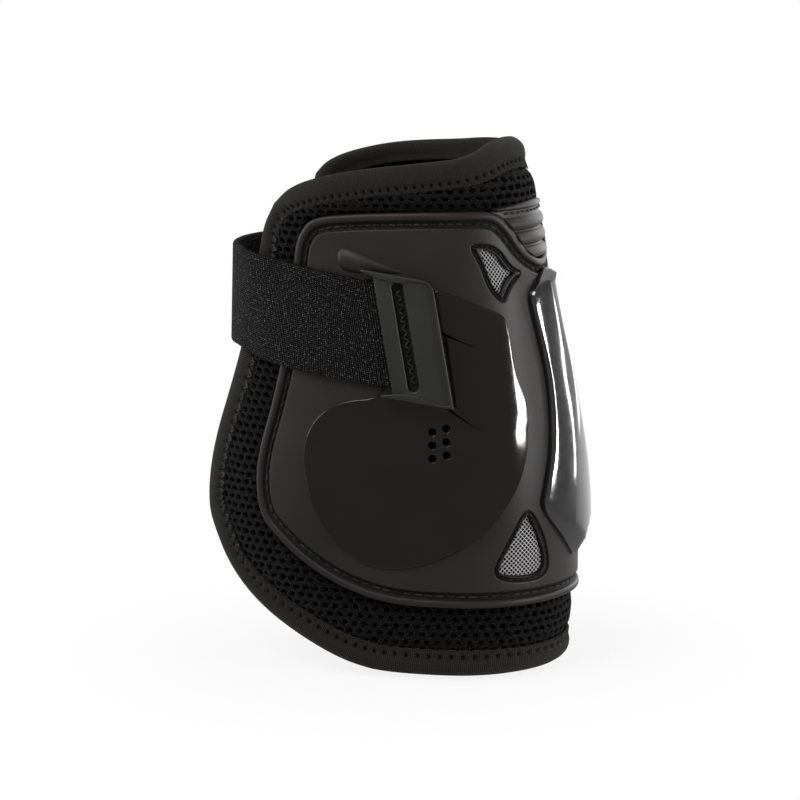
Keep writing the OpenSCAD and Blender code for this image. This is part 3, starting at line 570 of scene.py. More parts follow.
# The thread zigzags where the tape is wider than this; its thickness there, sunk, and at a loose end
ZIGZAG_FROM, THREAD, SUNK_THREAD, LOOSE_THREAD = 9.2, 0.62, 0.4, 0.13
zigzag = bmesh.new()
reach = 0
for s in range(stitch_count):
    while tape_run[reach] < s * STITCH:
        reach += 1
    i, j, k = reach % TAPE_N, (reach + 2) % TAPE_N, (reach + 4) % TAPE_N
    low = tape_path[i] + inner_lines[i] * (tape_width(tape_path[i]) - SEAM_IN)
    high = tape_path[j] + inner_lines[j] * (tape_width(tape_path[j]) + random.uniform(0.2, 1.1))
    next_low = tape_path[k] + inner_lines[k] * (tape_width(tape_path[k]) - SEAM_IN)
    over = 0.5 + swell(high.x, high.y)
    if tape_width(low) > ZIGZAG_FROM:
        sew(zigzag, (low.x, low.y, 0.9), (high.x, high.y, over), THREAD)
        sew(zigzag, (high.x, high.y, over), (next_low.x, next_low.y, 0.9), THREAD)
        continue
    sew(zigzag, (low.x, low.y, 0.3), (next_low.x, next_low.y, 0.8), SUNK_THREAD)
    for loose_end in range(3):
        start = low.lerp(high, random.uniform(0.3, 0.9)) + Vector((random.uniform(-1.6, 1.6), 0))
        end = start + inner_lines[j] * random.uniform(0.4, 1.3) + Vector((random.uniform(-0.6, 0.6), 0))
        sew(zigzag, (start.x, start.y, 1.05), (end.x, end.y, random.uniform(0.7, 1.3)), LOOSE_THREAD)
worn_collar(zigzag)
binding_thread = finish_piece("binding_thread", zigzag, [thread_yarn], "boot")
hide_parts("binding_stitching")


# ---- Outer shell -------------------------------------------------------------
# A soft moulded polyurethane shell with a rounded rim, a stitch channel inside it, and two
# framed vents on each side. It is sewn to the padding through the channel.

# Underside and outer face, out from the padding
SHELL_LOW, FACE = 0.35, 2.85
# Width of the channel round each vent frame, how deep the channels are, and where the frame's opening ends
FRAME_CHANNEL, CHANNEL_DEEP, OPENING_LOW = 1.4, 0.75, 1.3
mark_name = "place_on_edge"


def edge_loop(bm, outline, d):
    """A closed line of edges on an outline; each point remembers its number"""
    mark = bm.verts.layers.int.get(mark_name) or bm.verts.layers.int.new(mark_name)
    made = bmesh.ops.create_circle(bm, segments=len(outline), radius=1)["verts"]
    for i, (v, p) in enumerate(zip(made, outline)):
        v.co = (p.x, p.y, d)
        v[mark] = i + 1
    return list({e for v in made for e in v.link_edges})


def rings(bm, edges, outlines_and_heights):
    """Extrudes a closed line of edges through a row of outlines at their heights"""
    mark = bm.verts.layers.int.get(mark_name)
    for outline, d in outlines_and_heights:
        made = bmesh.ops.extrude_edge_only(bm, edges=edges)["geom"]
        for v in made:
            if isinstance(v, bmesh.types.BMVert):
                p = outline[v[mark] - 1]
                v.co = (p.x, p.y, d)
        edges = [e for e in made if isinstance(e, bmesh.types.BMEdge) and e.is_boundary]
    return edges


def lattice(bm, narrow=2.5, wide=5.0, high=4.0):
    """Cuts a flat sheet into small faces, narrower at the spine, so that it can bend round the leg"""
    end, tight_bend, top = 130.0, 47, 160
    q, cuts = -end, []
    while q < end:
        cuts.append(((q, 0, 0), (1, 0, 0)))
        q += narrow if abs(q) < tight_bend else wide
    cuts += [((0, z * high, 0), (0, 1, 0)) for z in range(1, int(top / high))]
    for co, no in cuts:
        bmesh.ops.bisect_plane(bm, geom=bm.verts[:] + bm.edges[:] + bm.faces[:], dist=0.0005, plane_co=co,
            plane_no=no)


def even_shading(piece, flat_verts):
    """Shades the open face as the smooth form that it is, whatever its cuts"""
    mesh, normals = piece.data, []
    for face in mesh.polygons:
        for corner in face.loop_indices:
            point = mesh.loops[corner].vertex_index
            normal = flat_verts.get(point, mesh.vertices[point].normal)
            normals.append(normal if face.normal.dot(normal) > 0.75 else face.normal.copy())
    mesh.normals_split_custom_set(normals)


def circle(centre, radius, n=20):
    """A round hole as it lies on the flat pattern"""
    return [Vector((centre[0] + radius * math.cos(2 * math.pi * i / n) / girth(centre[1]),
                    centre[1] + radius * math.sin(2 * math.pi * i / n))) for i in range(n)]


def blend_outlines(a, b, t):
    """The outline at a share of the way from one to another"""
    return [p.lerp(q, t) for p, q in zip(a, b)]


def far_side(outline):
    """Outlines are drawn as they lie on the far side"""
    return outline


def near_side(outline):
    """The same outline on the near side, turned so that it still runs the same way round"""
    return [Vector((-p.x, p.y)) for p in reversed(outline)]


UPPER_FRAME = cut_corners([
    (26, 127.6), (21, 125.6), (17, 120), (11.8, 118.4), (18.6, 114.6), (21.7, 109), (27, 113.5),
    (29.4, 121.5), (33, 127.4)], 3, closed=True)
UPPER_OPENING = cut_corners([
    (25.6, 125.4), (22.4, 123.8), (19.4, 119.4), (15.6, 118.6), (20, 116.6), (23, 111.6), (25, 114.5),
    (27, 120.5), (29, 126.4)], 3, closed=True)
LOWER_FRAME = cut_corners([
    (15.6, 45.5), (12, 36.5), (12, 28.6), (25.6, 28.4), (31.4, 31.6), (25.6, 42), (20.4, 52)],
    2, closed=True)
LOWER_OPENING = cut_corners([
    (16.6, 43), (14, 36.5), (13.8, 30.2), (25, 30.4), (30, 32.4), (24.6, 41.4), (20.5, 50.4)],
    2, closed=True)
STRIKE_EDGE = cut_corners([
    (53.4, 118.5), (27, 108.5), (22.2, 106.7), (21.2, 102.3), (21.2, 89.4), (17.6, 81.8), (18, 73.2),
    (20.6, 61.8), (25.6, 52.1), (33.8, 42.2), (44.6, 35.7), (57.5, 31.9), (70.8, 34.5), (82, 46),
    (87.6, 62), (87.2, 72), (81.5, 79.1), (73, 82.2), (60.5, 83)], 2, closed=True)

shell_loop = both_halves(*shell_lines, 130, 100)
# From the flat face out to the edge: each ring's distance in from the edge, and its height
rim_rings = [
    (5.05, FACE), (4.85, FACE - 0.03), (4.7, FACE - 0.14), (4.62, FACE - 0.35), (4.55, FACE - 0.8),
    (3.4, FACE - 0.86), (2.4, FACE - 0.8), (2.3, FACE - 0.45), (2.15, FACE - 0.05), (1.9, FACE + 0.2),
    (1.5, FACE + 0.33), (1.05, FACE + 0.37), (0.6, FACE + 0.3), (0.25, FACE + 0.1), (0.05, FACE - 0.3),
    (0, FACE - 0.8), (0, SHELL_LOW + 0.25), (0.25, SHELL_LOW)]
shell = bmesh.new()
face_edges = edge_loop(shell, inset(shell_loop, 5.5), FACE)
low_edges = rings(shell, face_edges, [(inset(shell_loop, a), d) for a, d in rim_rings])
for frame_line, opening in ((UPPER_FRAME, UPPER_OPENING), (LOWER_FRAME, LOWER_OPENING)):
    for turned in (far_side, near_side):
        line, hole = turned(frame_line), turned(opening)
        channel = inset(line, FRAME_CHANNEL)
        groove = edge_loop(shell, inset(line, -0.4), FACE)
        face_edges += groove
        low_edges += rings(shell, groove, [
            (line, FACE), (inset(line, 0.1), FACE - 0.12), (inset(line, 0.14), FACE - CHANNEL_DEEP),
            (inset(line, 1.26), FACE - CHANNEL_DEEP), (inset(line, 1.34), FACE - 0.1), (channel, FACE),
            (blend_outlines(channel, hole, 0.35), FACE + 0.04),
            (blend_outlines(channel, hole, 0.8), FACE - 0.08), (hole, FACE - 0.35),
            (inset(hole, 0.1), OPENING_LOW), (inset(hole, 0.1), SHELL_LOW)])
for turned in (far_side, near_side):
    seat = turned(inset(STRIKE_EDGE, 3))
    opening = edge_loop(shell, seat, FACE)
    face_edges += opening
    low_edges += rings(shell, opening, [(seat, SHELL_LOW)])
bmesh.ops.triangle_fill(shell, use_beauty=True, edges=face_edges, normal=(0, 0, 1))
bmesh.ops.triangle_fill(shell, use_beauty=True, edges=low_edges, normal=(0, 0, -1))
lattice(shell)
bmesh.ops.recalc_face_normals(shell, faces=shell.faces[:])


def out_of_leg(q, z, height=lambda q, z: 0):
    """Direction out of a moulded face at a point of the flat pattern"""
    round_it = on_leg(q + 0.5, z, height(q + 0.5, z)) - on_leg(q - 0.5, z, height(q - 0.5, z))
    up = on_leg(q, z + 0.5, height(q, z + 0.5)) - on_leg(q, z - 0.5, height(q, z - 0.5))
    return round_it.cross(up).normalized()


def open_face(bm, level, rise=lambda q, z: 0, edge_too=lambda v: False):
    """Lifts the points of the open face by its rise, and gives the direction that each then faces"""
    bm.verts.index_update()
    flat = [v for v in bm.verts if abs(v.co.z - level) < 0.0005]
    even_all_round = [v for v in flat if edge_too(v)
        or all(abs(e.other_vert(v).co.z - level) < 0.0005 for e in v.link_edges)]
    for v in flat:
        v.co.z += rise(v.co.x, v.co.y)
    return {v.index: out_of_leg(v.co.x, v.co.y, lambda q, z: level + rise(q, z)) for v in even_all_round}


# Moulded thermoplastic polyurethane: charcoal, satin from a fine sparked mould, paler where rubbed
matt_tpu, tree = new_material("moulded_satin_polyurethane")
place = node(tree, "TexCoord")
spark = node(tree, "TexNoise", {},
    {"Vector": place.outputs["Object"], "Scale": 2600.0, "Detail": 3.0, "Roughness": 0.6})
flow = node(tree, "TexNoise", {},
    {"Vector": place.outputs["Object"], "Scale": 26.0, "Detail": 4.0, "Roughness": 0.6})
shade = node(tree, "ValToRGB", {}, {"Fac": flow.outputs["Fac"]})
shade.color_ramp.elements[0].position, shade.color_ramp.elements[1].position = 0.3, 0.7
shade.color_ramp.elements[0].color = linear("#1f1c1b")
shade.color_ramp.elements[1].color = linear("#272423")
rough = node(tree, "MapRange", {},
    {"Value": flow.outputs["Fac"], "From Min": 0.3, "From Max": 0.7, "To Min": 0.42, "To Max": 0.5})
bump = node(tree, "Bump", {}, {"Height": spark.outputs["Fac"], "Strength": 0.22, "Distance": 0.00006})
shader = node(tree, "BsdfPrincipled", {}, {
    "Base Color": shade.outputs["Color"], "Roughness": rough.outputs["Result"], "Specular IOR Level": 0.3,
    "Normal": bump.outputs["Normal"]})
node(tree, "OutputMaterial", {}, {"Surface": shader.outputs["BSDF"]})

# The same polyurethane down in the stitch channels, darker and duller: its darker colour is painted shade
# between the channel walls
channel_shade_tpu, tree = new_material("painted_shade_polyurethane_channels")
place = node(tree, "TexCoord")
spark = node(tree, "TexNoise", {}, {"Vector": place.outputs["Object"], "Scale": 1800.0, "Detail": 3.0})
shade = node(tree, "ValToRGB", {}, {"Fac": spark.outputs["Fac"]})
shade.color_ramp.elements[0].color = linear("#0b0b0b")
shade.color_ramp.elements[1].color = linear("#161616")
bump = node(tree, "Bump", {}, {"Height": spark.outputs["Fac"], "Strength": 0.3, "Distance": 0.0001})
shader = node(tree, "BsdfPrincipled", {}, {
    "Base Color": shade.outputs["Color"], "Roughness": 0.7, "Specular IOR Level": 0.2,
    "Normal": bump.outputs["Normal"]})
node(tree, "OutputMaterial", {}, {"Surface": shader.outputs["BSDF"]})

# Faces sunk in the channels take the darker copy: painted shade between the walls
for face in shell.faces:
    if max(v.co.z for v in face.verts) < FACE - 0.3 and face.calc_center_median().z > 1.0:
        face.material_index = 1

shell_faces = open_face(shell, FACE)
outer_shell = finish_piece("moulded_shell", shell, [matt_tpu, channel_shade_tpu], "boot")
even_shading(outer_shell, shell_faces)
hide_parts("outer_shell")


# ---- Strike panels -----------------------------------------------------------
# A polished panel on each side takes the knocks. It is moulded with the shell and stands a little
# proud. Six vent holes go through it, and on the near side a ramp leads the hook's edge out.
PANEL, PANEL_LOW = FACE + 0.45, FACE - 0.4
RAMP_HIGH = [Vector(p) for p in ((46.9, 104), (42.7, 102.2), (37.8, 100), (32, 97.5))]
RAMP_LOW = [Vector(p) for p in ((45.5, 82.1), (42, 79.7), (38, 77), (33.1, 73.7))]
ramp_outline = (even(RAMP_LOW[::-1], 16)[:-1] + even([RAMP_LOW[0], RAMP_HIGH[0]], 8)[:-1]
                + even(RAMP_HIGH, 16)[:-1] + even([RAMP_HIGH[-1], RAMP_LOW[-1]], 24)[:-1])

# The same polyurethane from a polished mould: near black, glossy, with faint flow waves and scuffs
gloss_tpu, tree = new_material("polished_polyurethane")
place = node(tree, "TexCoord")
waves = node(tree, "TexNoise", {}, {"Vector": place.outputs["Object"], "Scale": 60.0, "Detail": 2.0})
scuffs = node(tree, "TexNoise", {},
    {"Vector": place.outputs["Object"], "Scale": 700.0, "Detail": 5.0, "Roughness": 0.7})
rough = node(tree, "MapRange", {},
    {"Value": scuffs.outputs["Fac"], "From Min": 0.4, "From Max": 0.75, "To Min": 0.07, "To Max": 0.13})
bump = node(tree, "Bump", {}, {"Height": waves.outputs["Fac"], "Strength": 0.12, "Distance": 0.0006})
shade = node(tree, "ValToRGB", {}, {"Fac": waves.outputs["Fac"]})
shade.color_ramp.elements[0].color = linear("#13100e")
shade.color_ramp.elements[1].color = linear("#1b1715")
shader = node(tree, "BsdfPrincipled", {}, {
    "Base Color": shade.outputs["Color"], "Roughness": rough.outputs["Result"], "Specular IOR Level": 0.4,
    "Normal": bump.outputs["Normal"]})
node(tree, "OutputMaterial", {}, {"Surface": shader.outputs["BSDF"]})


# Middle of the dome, its half width and height, how far it rises, and the height where it fades out
DOME_Q, DOME_Z, DOME_WIDE, DOME_TALL, DOME_RISE, DOME_END = 50, 60, 37, 29, 1.1, 79


def dish(q, z):
    """The lower half of the panel is a shallow dome; the upper half keeps the shell's own bend"""
    q = abs(q)
    if z > DOME_END + (q - 33) * 0.1 or q < 17:
        return 0.0
    out = math.hypot((q - DOME_Q) / DOME_WIDE, (z - DOME_Z) / DOME_TALL)
    return DOME_RISE * (1 - min(1, out) ** 2) * ease((DOME_END - z) / 7)


# Middle of the group of vent holes, and how far apart its columns and rows are
VENTS, VENT_PITCH = (45.2, 70.4), (4.18, 3.8)


def vent_centres():
    """Two columns of three, a little askew"""
    for i in (0, 1):
        for j in (-1, 0, 1):
            yield VENTS[0] - (i - 0.5) * VENT_PITCH[0], VENTS[1] + j * VENT_PITCH[1] + (i - 0.5)


for side, turned in (("far", far_side), ("near", near_side)):
    panel = bmesh.new()
    edge = turned(STRIKE_EDGE)
    top_edges = edge_loop(panel, inset(edge, 0.7), PANEL)
    bottom_edges = rings(panel, top_edges, [(inset(edge, a), d) for a, d in (
        (0.5, PANEL), (0.3, PANEL - 0.05), (0.15, PANEL - 0.15), (0.05, PANEL - 0.3), (0.0, PANEL - 0.55),
        (0.0, PANEL_LOW))])
    # Each vent hole has a rounded mouth
    for centre in vent_centres():
        rim = edge_loop(panel, turned(circle(centre, 1.4)), PANEL)
        top_edges += rim
        bottom_edges += rings(panel, rim, [
            (turned(circle(centre, 1.2)), PANEL), (turned(circle(centre, 1.1)), PANEL - 0.03),
            (turned(circle(centre, 1.0)), PANEL - 0.15), (turned(circle(centre, 0.97)), PANEL_LOW)])
    if side == "near":
        mouth = edge_loop(panel, turned(ramp_outline), PANEL)
        mouth_points = {(round(p.x, 3), round(p.y, 3)) for p in turned(ramp_outline)}
        top_edges += mouth
        bottom_edges += rings(panel, mouth, [(turned(ramp_outline), PANEL_LOW)])
    bmesh.ops.triangle_fill(panel, use_beauty=True, edges=top_edges, normal=(0, 0, 1))
    bmesh.ops.triangle_fill(panel, use_beauty=True, edges=bottom_edges, normal=(0, 0, -1))
    lattice(panel, 1.25, 2.5, 2.0)
    bmesh.ops.recalc_face_normals(panel, faces=panel.faces[:])
    panel_faces = open_face(panel, PANEL, dish,
        lambda v: side == "near" and (round(v.co.x, 3), round(v.co.y, 3)) in mouth_points)
    piece = finish_piece("strike_panel_" + side, panel, [gloss_tpu], "boot")
    even_shading(piece, panel_faces)
    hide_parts("outer_shell")


def drop_wall(bm, level):
    """Faces an open sheet outwards and drops a wall from its edge down to a level"""
    bmesh.ops.recalc_face_normals(bm, faces=bm.faces[:])
    if sum(f.normal.z for f in bm.faces) < 0:
        bmesh.ops.reverse_faces(bm, faces=bm.faces[:])
    wall = bmesh.ops.extrude_edge_only(bm, edges=[e for e in bm.edges if e.is_boundary])["geom"]
    for v in wall:
        if isinstance(v, bmesh.types.BMVert):
            v.co.z = level


# Ramp under the hook's grip: a sunk tongue that rises to the panel at its back, with a slit along
# each side. Its depth at the front, the width of the slit there, and how far down its walls go
RAMP_DEPTH, SLIT, RAMP_FOOT = 0.8, 1.15, 0.6
ramp = bmesh.new()
bmesh.ops.create_grid(ramp, x_segments=18, y_segments=20, size=1)
for v in ramp.verts:
    u, w = (v.co.x + 1) / 2, (v.co.y + 1) / 2
    low, high = even(RAMP_LOW, 18)[round(u * 18)], even(RAMP_HIGH, 18)[round(u * 18)]
    gap = Vector((0, SLIT * (1 - u)))
    p = (low + gap).lerp(high - gap, w)
    v.co = (-p.x, p.y, PANEL - RAMP_DEPTH * (1 - u) ** 2 - 0.002)
floor_faces = {}
ramp.verts.index_update()
for v in ramp.verts:
    floor_faces[v.index] = out_of_leg(
        v.co.x, v.co.y, lambda q, z: -RAMP_DEPTH * max(0, (abs(q) - 32.5) / 14) ** 2)
drop_wall(ramp, RAMP_FOOT)
bmesh.ops.holes_fill(ramp, edges=[e for e in ramp.edges if e.is_boundary], sides=0)
bmesh.ops.recalc_face_normals(ramp, faces=ramp.faces[:])
ramp_piece = finish_piece("hook_ramp", ramp, [gloss_tpu], "boot")
even_shading(ramp_piece, floor_faces)
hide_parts("outer_shell")

# Guide above the strap: a moulded drop, thick and round at the front and fading to the back. The place
# of its back end, and how far it runs forward and up
GUIDE_BACK, GUIDE_RUN = (52, 118.3), (28.5, 4.6)
guide = bmesh.new()
bmesh.ops.create_uvsphere(guide, u_segments=24, v_segments=36, radius=1,
    matrix=Matrix.Rotation(math.pi / 2, 4, "Y"))
for v in guide.verts:
    back = (1 - v.co.x) / 2
    along = 1 - 0.24 * back - 0.76 * back ** 2
    q, z = GUIDE_BACK[0] + GUIDE_RUN[0] * along, GUIDE_BACK[1] + GUIDE_RUN[1] * along
    v.co = (-q, z + v.co.y * (0.3 + 4.0 * along), FACE - 0.5 + v.co.z * (0.6 + 2.1 * along))
bmesh.ops.recalc_face_normals(guide, faces=guide.faces[:])
guide_piece = finish_piece("strap_guide", guide, [matt_tpu], "boot")
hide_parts("outer_shell")


# ---- Stitching on the shell --------------------------------------------------
# The shell is sewn down through its channel in long lock stitches, and each vent frame is sewn
# round its own. The stitches lie sunk between the walls, with a pulled hole at each end.
def lock_stitches(bm, loop, pitch, d, thickness):
    """Stitches end to end round a closed line, with a short gap between them"""
    total = sum((b - a).length for a, b in zip(loop, loop[1:] + loop[:1]))
    count = round(total / pitch)
    line = even(loop + loop[:1], count)
    for a, b in zip(line, line[1:]):
        sew(bm, (*a.lerp(b, 0.08), d), (*a.lerp(b, 0.92), d), thickness)


# Length, depth in the channel and thickness of the stitches round the shell and round the vents
SHELL_STITCH, SHELL_SUNK, SHELL_THREAD = 3.1, 0.72, 0.75
VENT_STITCH, VENT_SUNK, VENT_THREAD = 2.0, 0.66, 0.6
seams = bmesh.new()
lock_stitches(seams, inset(shell_loop, 3.45), SHELL_STITCH, FACE - SHELL_SUNK, SHELL_THREAD)
shell_thread = finish_piece("shell_seam", seams, [thread_yarn], "boot")
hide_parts("shell_stitching")
vent_seams = bmesh.new()
for line in (UPPER_FRAME, LOWER_FRAME, near_side(UPPER_FRAME), near_side(LOWER_FRAME)):
    lock_stitches(vent_seams, inset(line, FRAME_CHANNEL / 2), VENT_STITCH, FACE - VENT_SUNK, VENT_THREAD)
vent_thread = finish_piece("vent_seams", vent_seams, [thread_yarn], "boot")
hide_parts("vent_stitching")


# ---- Vent screens ------------------------------------------------------------
# A woven screen of silver-grey polyester monofilament is trapped under each vent frame, its
# threads on the diagonal, so that air passes and grit stays out.

# Polyester monofilament: pale grey, slightly shiny round threads
screen_thread, tree = new_material("polyester_monofilament")
place = node(tree, "TexCoord")
tone = node(tree, "TexNoise", {}, {"Vector": place.outputs["Object"], "Scale": 500.0, "Detail": 2.0})
shade = node(tree, "ValToRGB", {}, {"Fac": tone.outputs["Fac"]})
shade.color_ramp.elements[0].color = linear("#c0c0c2")
shade.color_ramp.elements[1].color = linear("#e6e6e8")
bump = node(tree, "Bump", {}, {"Height": tone.outputs["Fac"], "Strength": 0.2, "Distance": 0.0001})
shader = node(tree, "BsdfPrincipled", {},
    {"Base Color": shade.outputs["Color"], "Roughness": 0.35, "Normal": bump.outputs["Normal"]})
node(tree, "OutputMaterial", {}, {"Surface": shader.outputs["BSDF"]})

# Spacing and thickness of the threads, their level under the frame, and how far they wave
SCREEN_PITCH, SCREEN_THREAD, SCREEN_LEVEL, SCREEN_WAVE = 0.98, 0.22, 1.25, 0.12
for name, opening, turned in (
        ("near_upper", UPPER_OPENING, near_side), ("near_lower", LOWER_OPENING, near_side),
        ("far_upper", UPPER_OPENING, far_side), ("far_lower", LOWER_OPENING, far_side)):
    hole = turned(opening)
    middle = sum(hole, Vector((0, 0))) / len(hole)
    screen = bmesh.new()
    bmesh.ops.create_grid(screen, x_segments=36, y_segments=36, size=18 * SCREEN_PITCH)
    for v in screen.verts:
        i, j = round(v.co.x / SCREEN_PITCH), round(v.co.y / SCREEN_PITCH)
        x, y = v.co.x * 0.707 - v.co.y * 0.707, v.co.x * 0.707 + v.co.y * 0.707
        v.co = (middle.x + x, middle.y + y, SCREEN_LEVEL + (SCREEN_WAVE if (i + j) % 2 else -SCREEN_WAVE))
    wide = inset(hole, -0.5)
    bmesh.ops.delete(screen, geom=[f for f in screen.faces if not within(wide, f.calc_center_median().xy)],
        context="FACES")
    bmesh.ops.wireframe(screen, faces=screen.faces[:], thickness=SCREEN_THREAD, use_replace=True,
        use_boundary=True, use_even_offset=True)
    piece = finish_piece("vent_screen_" + name, screen, [screen_thread], "boot")
    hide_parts("vent_mesh_" + name)


# ---- Flex panel --------------------------------------------------------------
# Under the V of the shell, above the spine, a ribbed panel of the same soft polyurethane lets
# the collar bend. Its ribs run round the leg like a bellows, below a flat band that is sewn down.

# Spacing of the ribs, the panel's lower end, the foot of its flat band and its upper end
RIB_PITCH, FLEX_LOW, FLEX_BAND, FLEX_HIGH = 4.4, 121.9, 134.2, 138.7
# Level of the valleys, how far a rib rises, the share of the spacing it takes, and the panel's half width
VALLEY, RIB_RISE, RIB_SHARE, FLEX_HALF = 2.1, 1.35, 0.9, 21.5
flex = bmesh.new()
bmesh.ops.create_grid(flex, x_segments=60, y_segments=100, size=1)
v_line = [p for p in shell_lines[2] if p.x < 24]
for v in flex.verts:
    u, w = v.co.x, (v.co.y + 1) / 2
    z = FLEX_LOW + (FLEX_HIGH - 1.5 * abs(u) ** 1.5 - FLEX_LOW) * w
    half = FLEX_HALF
    for a, b in zip(v_line, v_line[1:]):
        if b.y <= z <= a.y:
            half = b.x + (a.x - b.x) * (z - b.y) / max(0.001, a.y - b.y)
    if z < FLEX_BAND:
        beat = ((FLEX_BAND - z) / RIB_PITCH) % 1
        rise = VALLEY
        if beat < RIB_SHARE:
            rise += RIB_RISE * math.sin(math.pi * min(1, beat / RIB_SHARE)) ** 0.7
    else:
        rise = 2.3 + 0.7 * ease((z - 136.2) / 0.6) - 2.0 * ease((w - 0.97) / 0.03)
    v.co = (u * max(1.2, half - 0.2), z, rise)
drop_wall(flex, SHELL_LOW)
band_seam = bmesh.new()
band_line = even([Vector((-18, FLEX_BAND + 1.3)), Vector((18, FLEX_BAND + 1.3))], 12)
for a, b in zip(band_line, band_line[1:]):
    sew(band_seam, (*a.lerp(b, 0.1), 2.5), (*a.lerp(b, 0.9), 2.5), 0.75)
band_piece = finish_piece("flex_seam", band_seam, [thread_yarn], "boot")
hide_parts("shell_stitching")
flex_piece = finish_piece("flex_panel", flex, [matt_tpu], "boot")
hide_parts("flex_bellows")


# ---- Bumper ------------------------------------------------------------------
# A hard polished bumper is bonded down the spine, where the other hoof would strike. It is wide
# at both ends and waisted, with bevelled edges and two ridges that draw together at the waist.

# Half its width and half the distance between its ridges, each with its height up the leg
HALF_WIDTH = cut_corners([
    (0.5, 33.5), (8, 41), (16, 50), (14.6, 55.5), (11, 67.5), (9.2, 81.5), (9.4, 91.5), (11, 102.5),
    (12.4, 111.5), (8, 115.1), (0.5, 118.5)], 3)
RIDGE = cut_corners([
    (0.2, 33.5), (6.5, 42), (4.4, 60), (2.2, 74), (0.4, 88), (2.4, 100), (4.6, 112), (5.2, 118.5)], 3)


def along_line(line, z):
    """Distance from the spine of a line at a height"""
    for a, b in zip(line, line[1:]):
        if a.y <= z <= b.y:
            return a.x + (b.x - a.x) * (z - a.y) / max(0.001, b.y - a.y)
    return line[-1].x if z > line[-1].y else line[0].x


# Height of its tip above the hem, how tall it is, and how far its shoulders and its ridges rise
BUMPER_FOOT, BUMPER_TALL, SHOULDER, RIDGE_RISE = 33.5, 85, 2.35, 4.1
# Its two ends slope down to these lines
TOP_END = even([Vector((12.4, 111.5)), Vector((8, 115.1)), Vector((0, 118.7))], 40)
TIP_END = even([Vector((0, 33.2)), Vector((8, 41)), Vector((16, 50))], 60)
bumper = bmesh.new()
bmesh.ops.create_grid(bumper, x_segments=24, y_segments=150, size=1)
for v in bumper.verts:
    z = BUMPER_FOOT + BUMPER_TALL * (v.co.y + 1) / 2
    half = along_line(HALF_WIDTH, z)
    bevel = min(0.5, half * 0.3)
    ridge = min(along_line(RIDGE, z), max(0.05, half - bevel - 0.45))
    # Lanes from the edge in: the foot of the bevel, the bevel, the facet, and the flat between ridges
    lane = round(v.co.x * 12)
    out = abs(lane)
    if out == 12:
        q, rise = half, 0.0
    elif out == 11:
        q, rise = half - 0.12, 1.3
    elif out == 10:
        q, rise = half - bevel, 2.25
    elif out == 9:
        q, rise = half - bevel - 0.2, SHOULDER
    elif out >= 4:
        t = (out - 4) / 5
        q = ridge + 0.2 + (half - bevel - 0.2 - ridge - 0.2) * t
        rise = RIDGE_RISE - (RIDGE_RISE - SHOULDER) * t
    else:
        q = max(0, ridge - 0.15) * out / 3
        rise = 4.25 - 0.1 * (out / 3) ** 2
    to_top = min(math.hypot(q - p.x, z - p.y) for p in TOP_END)
    to_tip = min(math.hypot(q - p.x, z - p.y) for p in TIP_END)
    rise = min(rise, 0.9 + 3.0 * to_top, 0.9 + 0.85 * to_tip)
    v.co = (q * (1 if lane >= 0 else -1), z, FACE + 0.15 + rise)
drop_wall(bumper, FACE - 0.2)

# Injection-moulded hard polyurethane, polished: dark, clear reflections, fine rub marks
bumper_tpu, tree = new_material("polished_hard_polyurethane")
place = node(tree, "TexCoord")
marks = node(tree, "TexNoise", {},
    {"Vector": place.outputs["Object"], "Scale": 400.0, "Detail": 6.0, "Roughness": 0.75})
rough = node(tree, "MapRange", {},
    {"Value": marks.outputs["Fac"], "From Min": 0.4, "From Max": 0.75, "To Min": 0.08, "To Max": 0.22})
waves = node(tree, "TexNoise", {}, {"Vector": place.outputs["Object"], "Scale": 70.0, "Detail": 1.0})
bump = node(tree, "Bump", {}, {"Height": waves.outputs["Fac"], "Strength": 0.1, "Distance": 0.0005})
shade = node(tree, "ValToRGB", {}, {"Fac": waves.outputs["Fac"]})
shade.color_ramp.elements[0].color = linear("#100f10")
shade.color_ramp.elements[1].color = linear("#171617")
shader = node(tree, "BsdfPrincipled", {}, {
    "Base Color": shade.outputs["Color"], "Roughness": rough.outputs["Result"], "Specular IOR Level": 1.0,
    "Coat Weight": 1.0, "Coat Roughness": 0.04, "Normal": bump.outputs["Normal"]})
node(tree, "OutputMaterial", {}, {"Surface": shader.outputs["BSDF"]})
bumper_piece = finish_piece("spine_bumper", bumper, [bumper_tpu], "boot")
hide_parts("back_bumper")


# ---- Elastic strap -----------------------------------------------------------
# A woven elastic 30 mm wide. One end is sewn to the far side; it crosses the open front and ends
# in the hook. It folds where it leaves the padding on the far side, at the front edge.

# Level of its inner face over the shell, its thickness and width, where its seam starts, where it leaves
# the padding at the front, the height of its middle there, and how much it drops for each millimetre
STRAP_LOW, STRAP_THICK, STRAP_WIDE = 3.55, 1.6, 30.0
STRAP_START, FRONT_EDGE, STRAP_HEIGHT, STRAP_DROP = 78.0, 108, 108.5, 0.125
leave = walk(BODY_ARCS, FRONT_EDGE)
FRONT_RADIUS = leave[1] / math.sin(leave[2])
STRAP_ARCS = (BODY_ARCS[0], BODY_ARCS[1], (FRONT_EDGE - BODY_ARCS[0][0] - BODY_ARCS[1][0], 70),
    (1000, FRONT_RADIUS))
STRAP_MID = FRONT_EDGE + FRONT_RADIUS * (math.pi - leave[2])
# Place of the hook's channel on the near side, how far the hook is tilted, and where the elastic ends
HOOK_REACH, HOOK_HEIGHT, HOOK_TILT = 56.5, 100.5, 11.0
STRAP_END = HOOK_REACH + 8.1 / girth(HOOK_HEIGHT) + 0.1


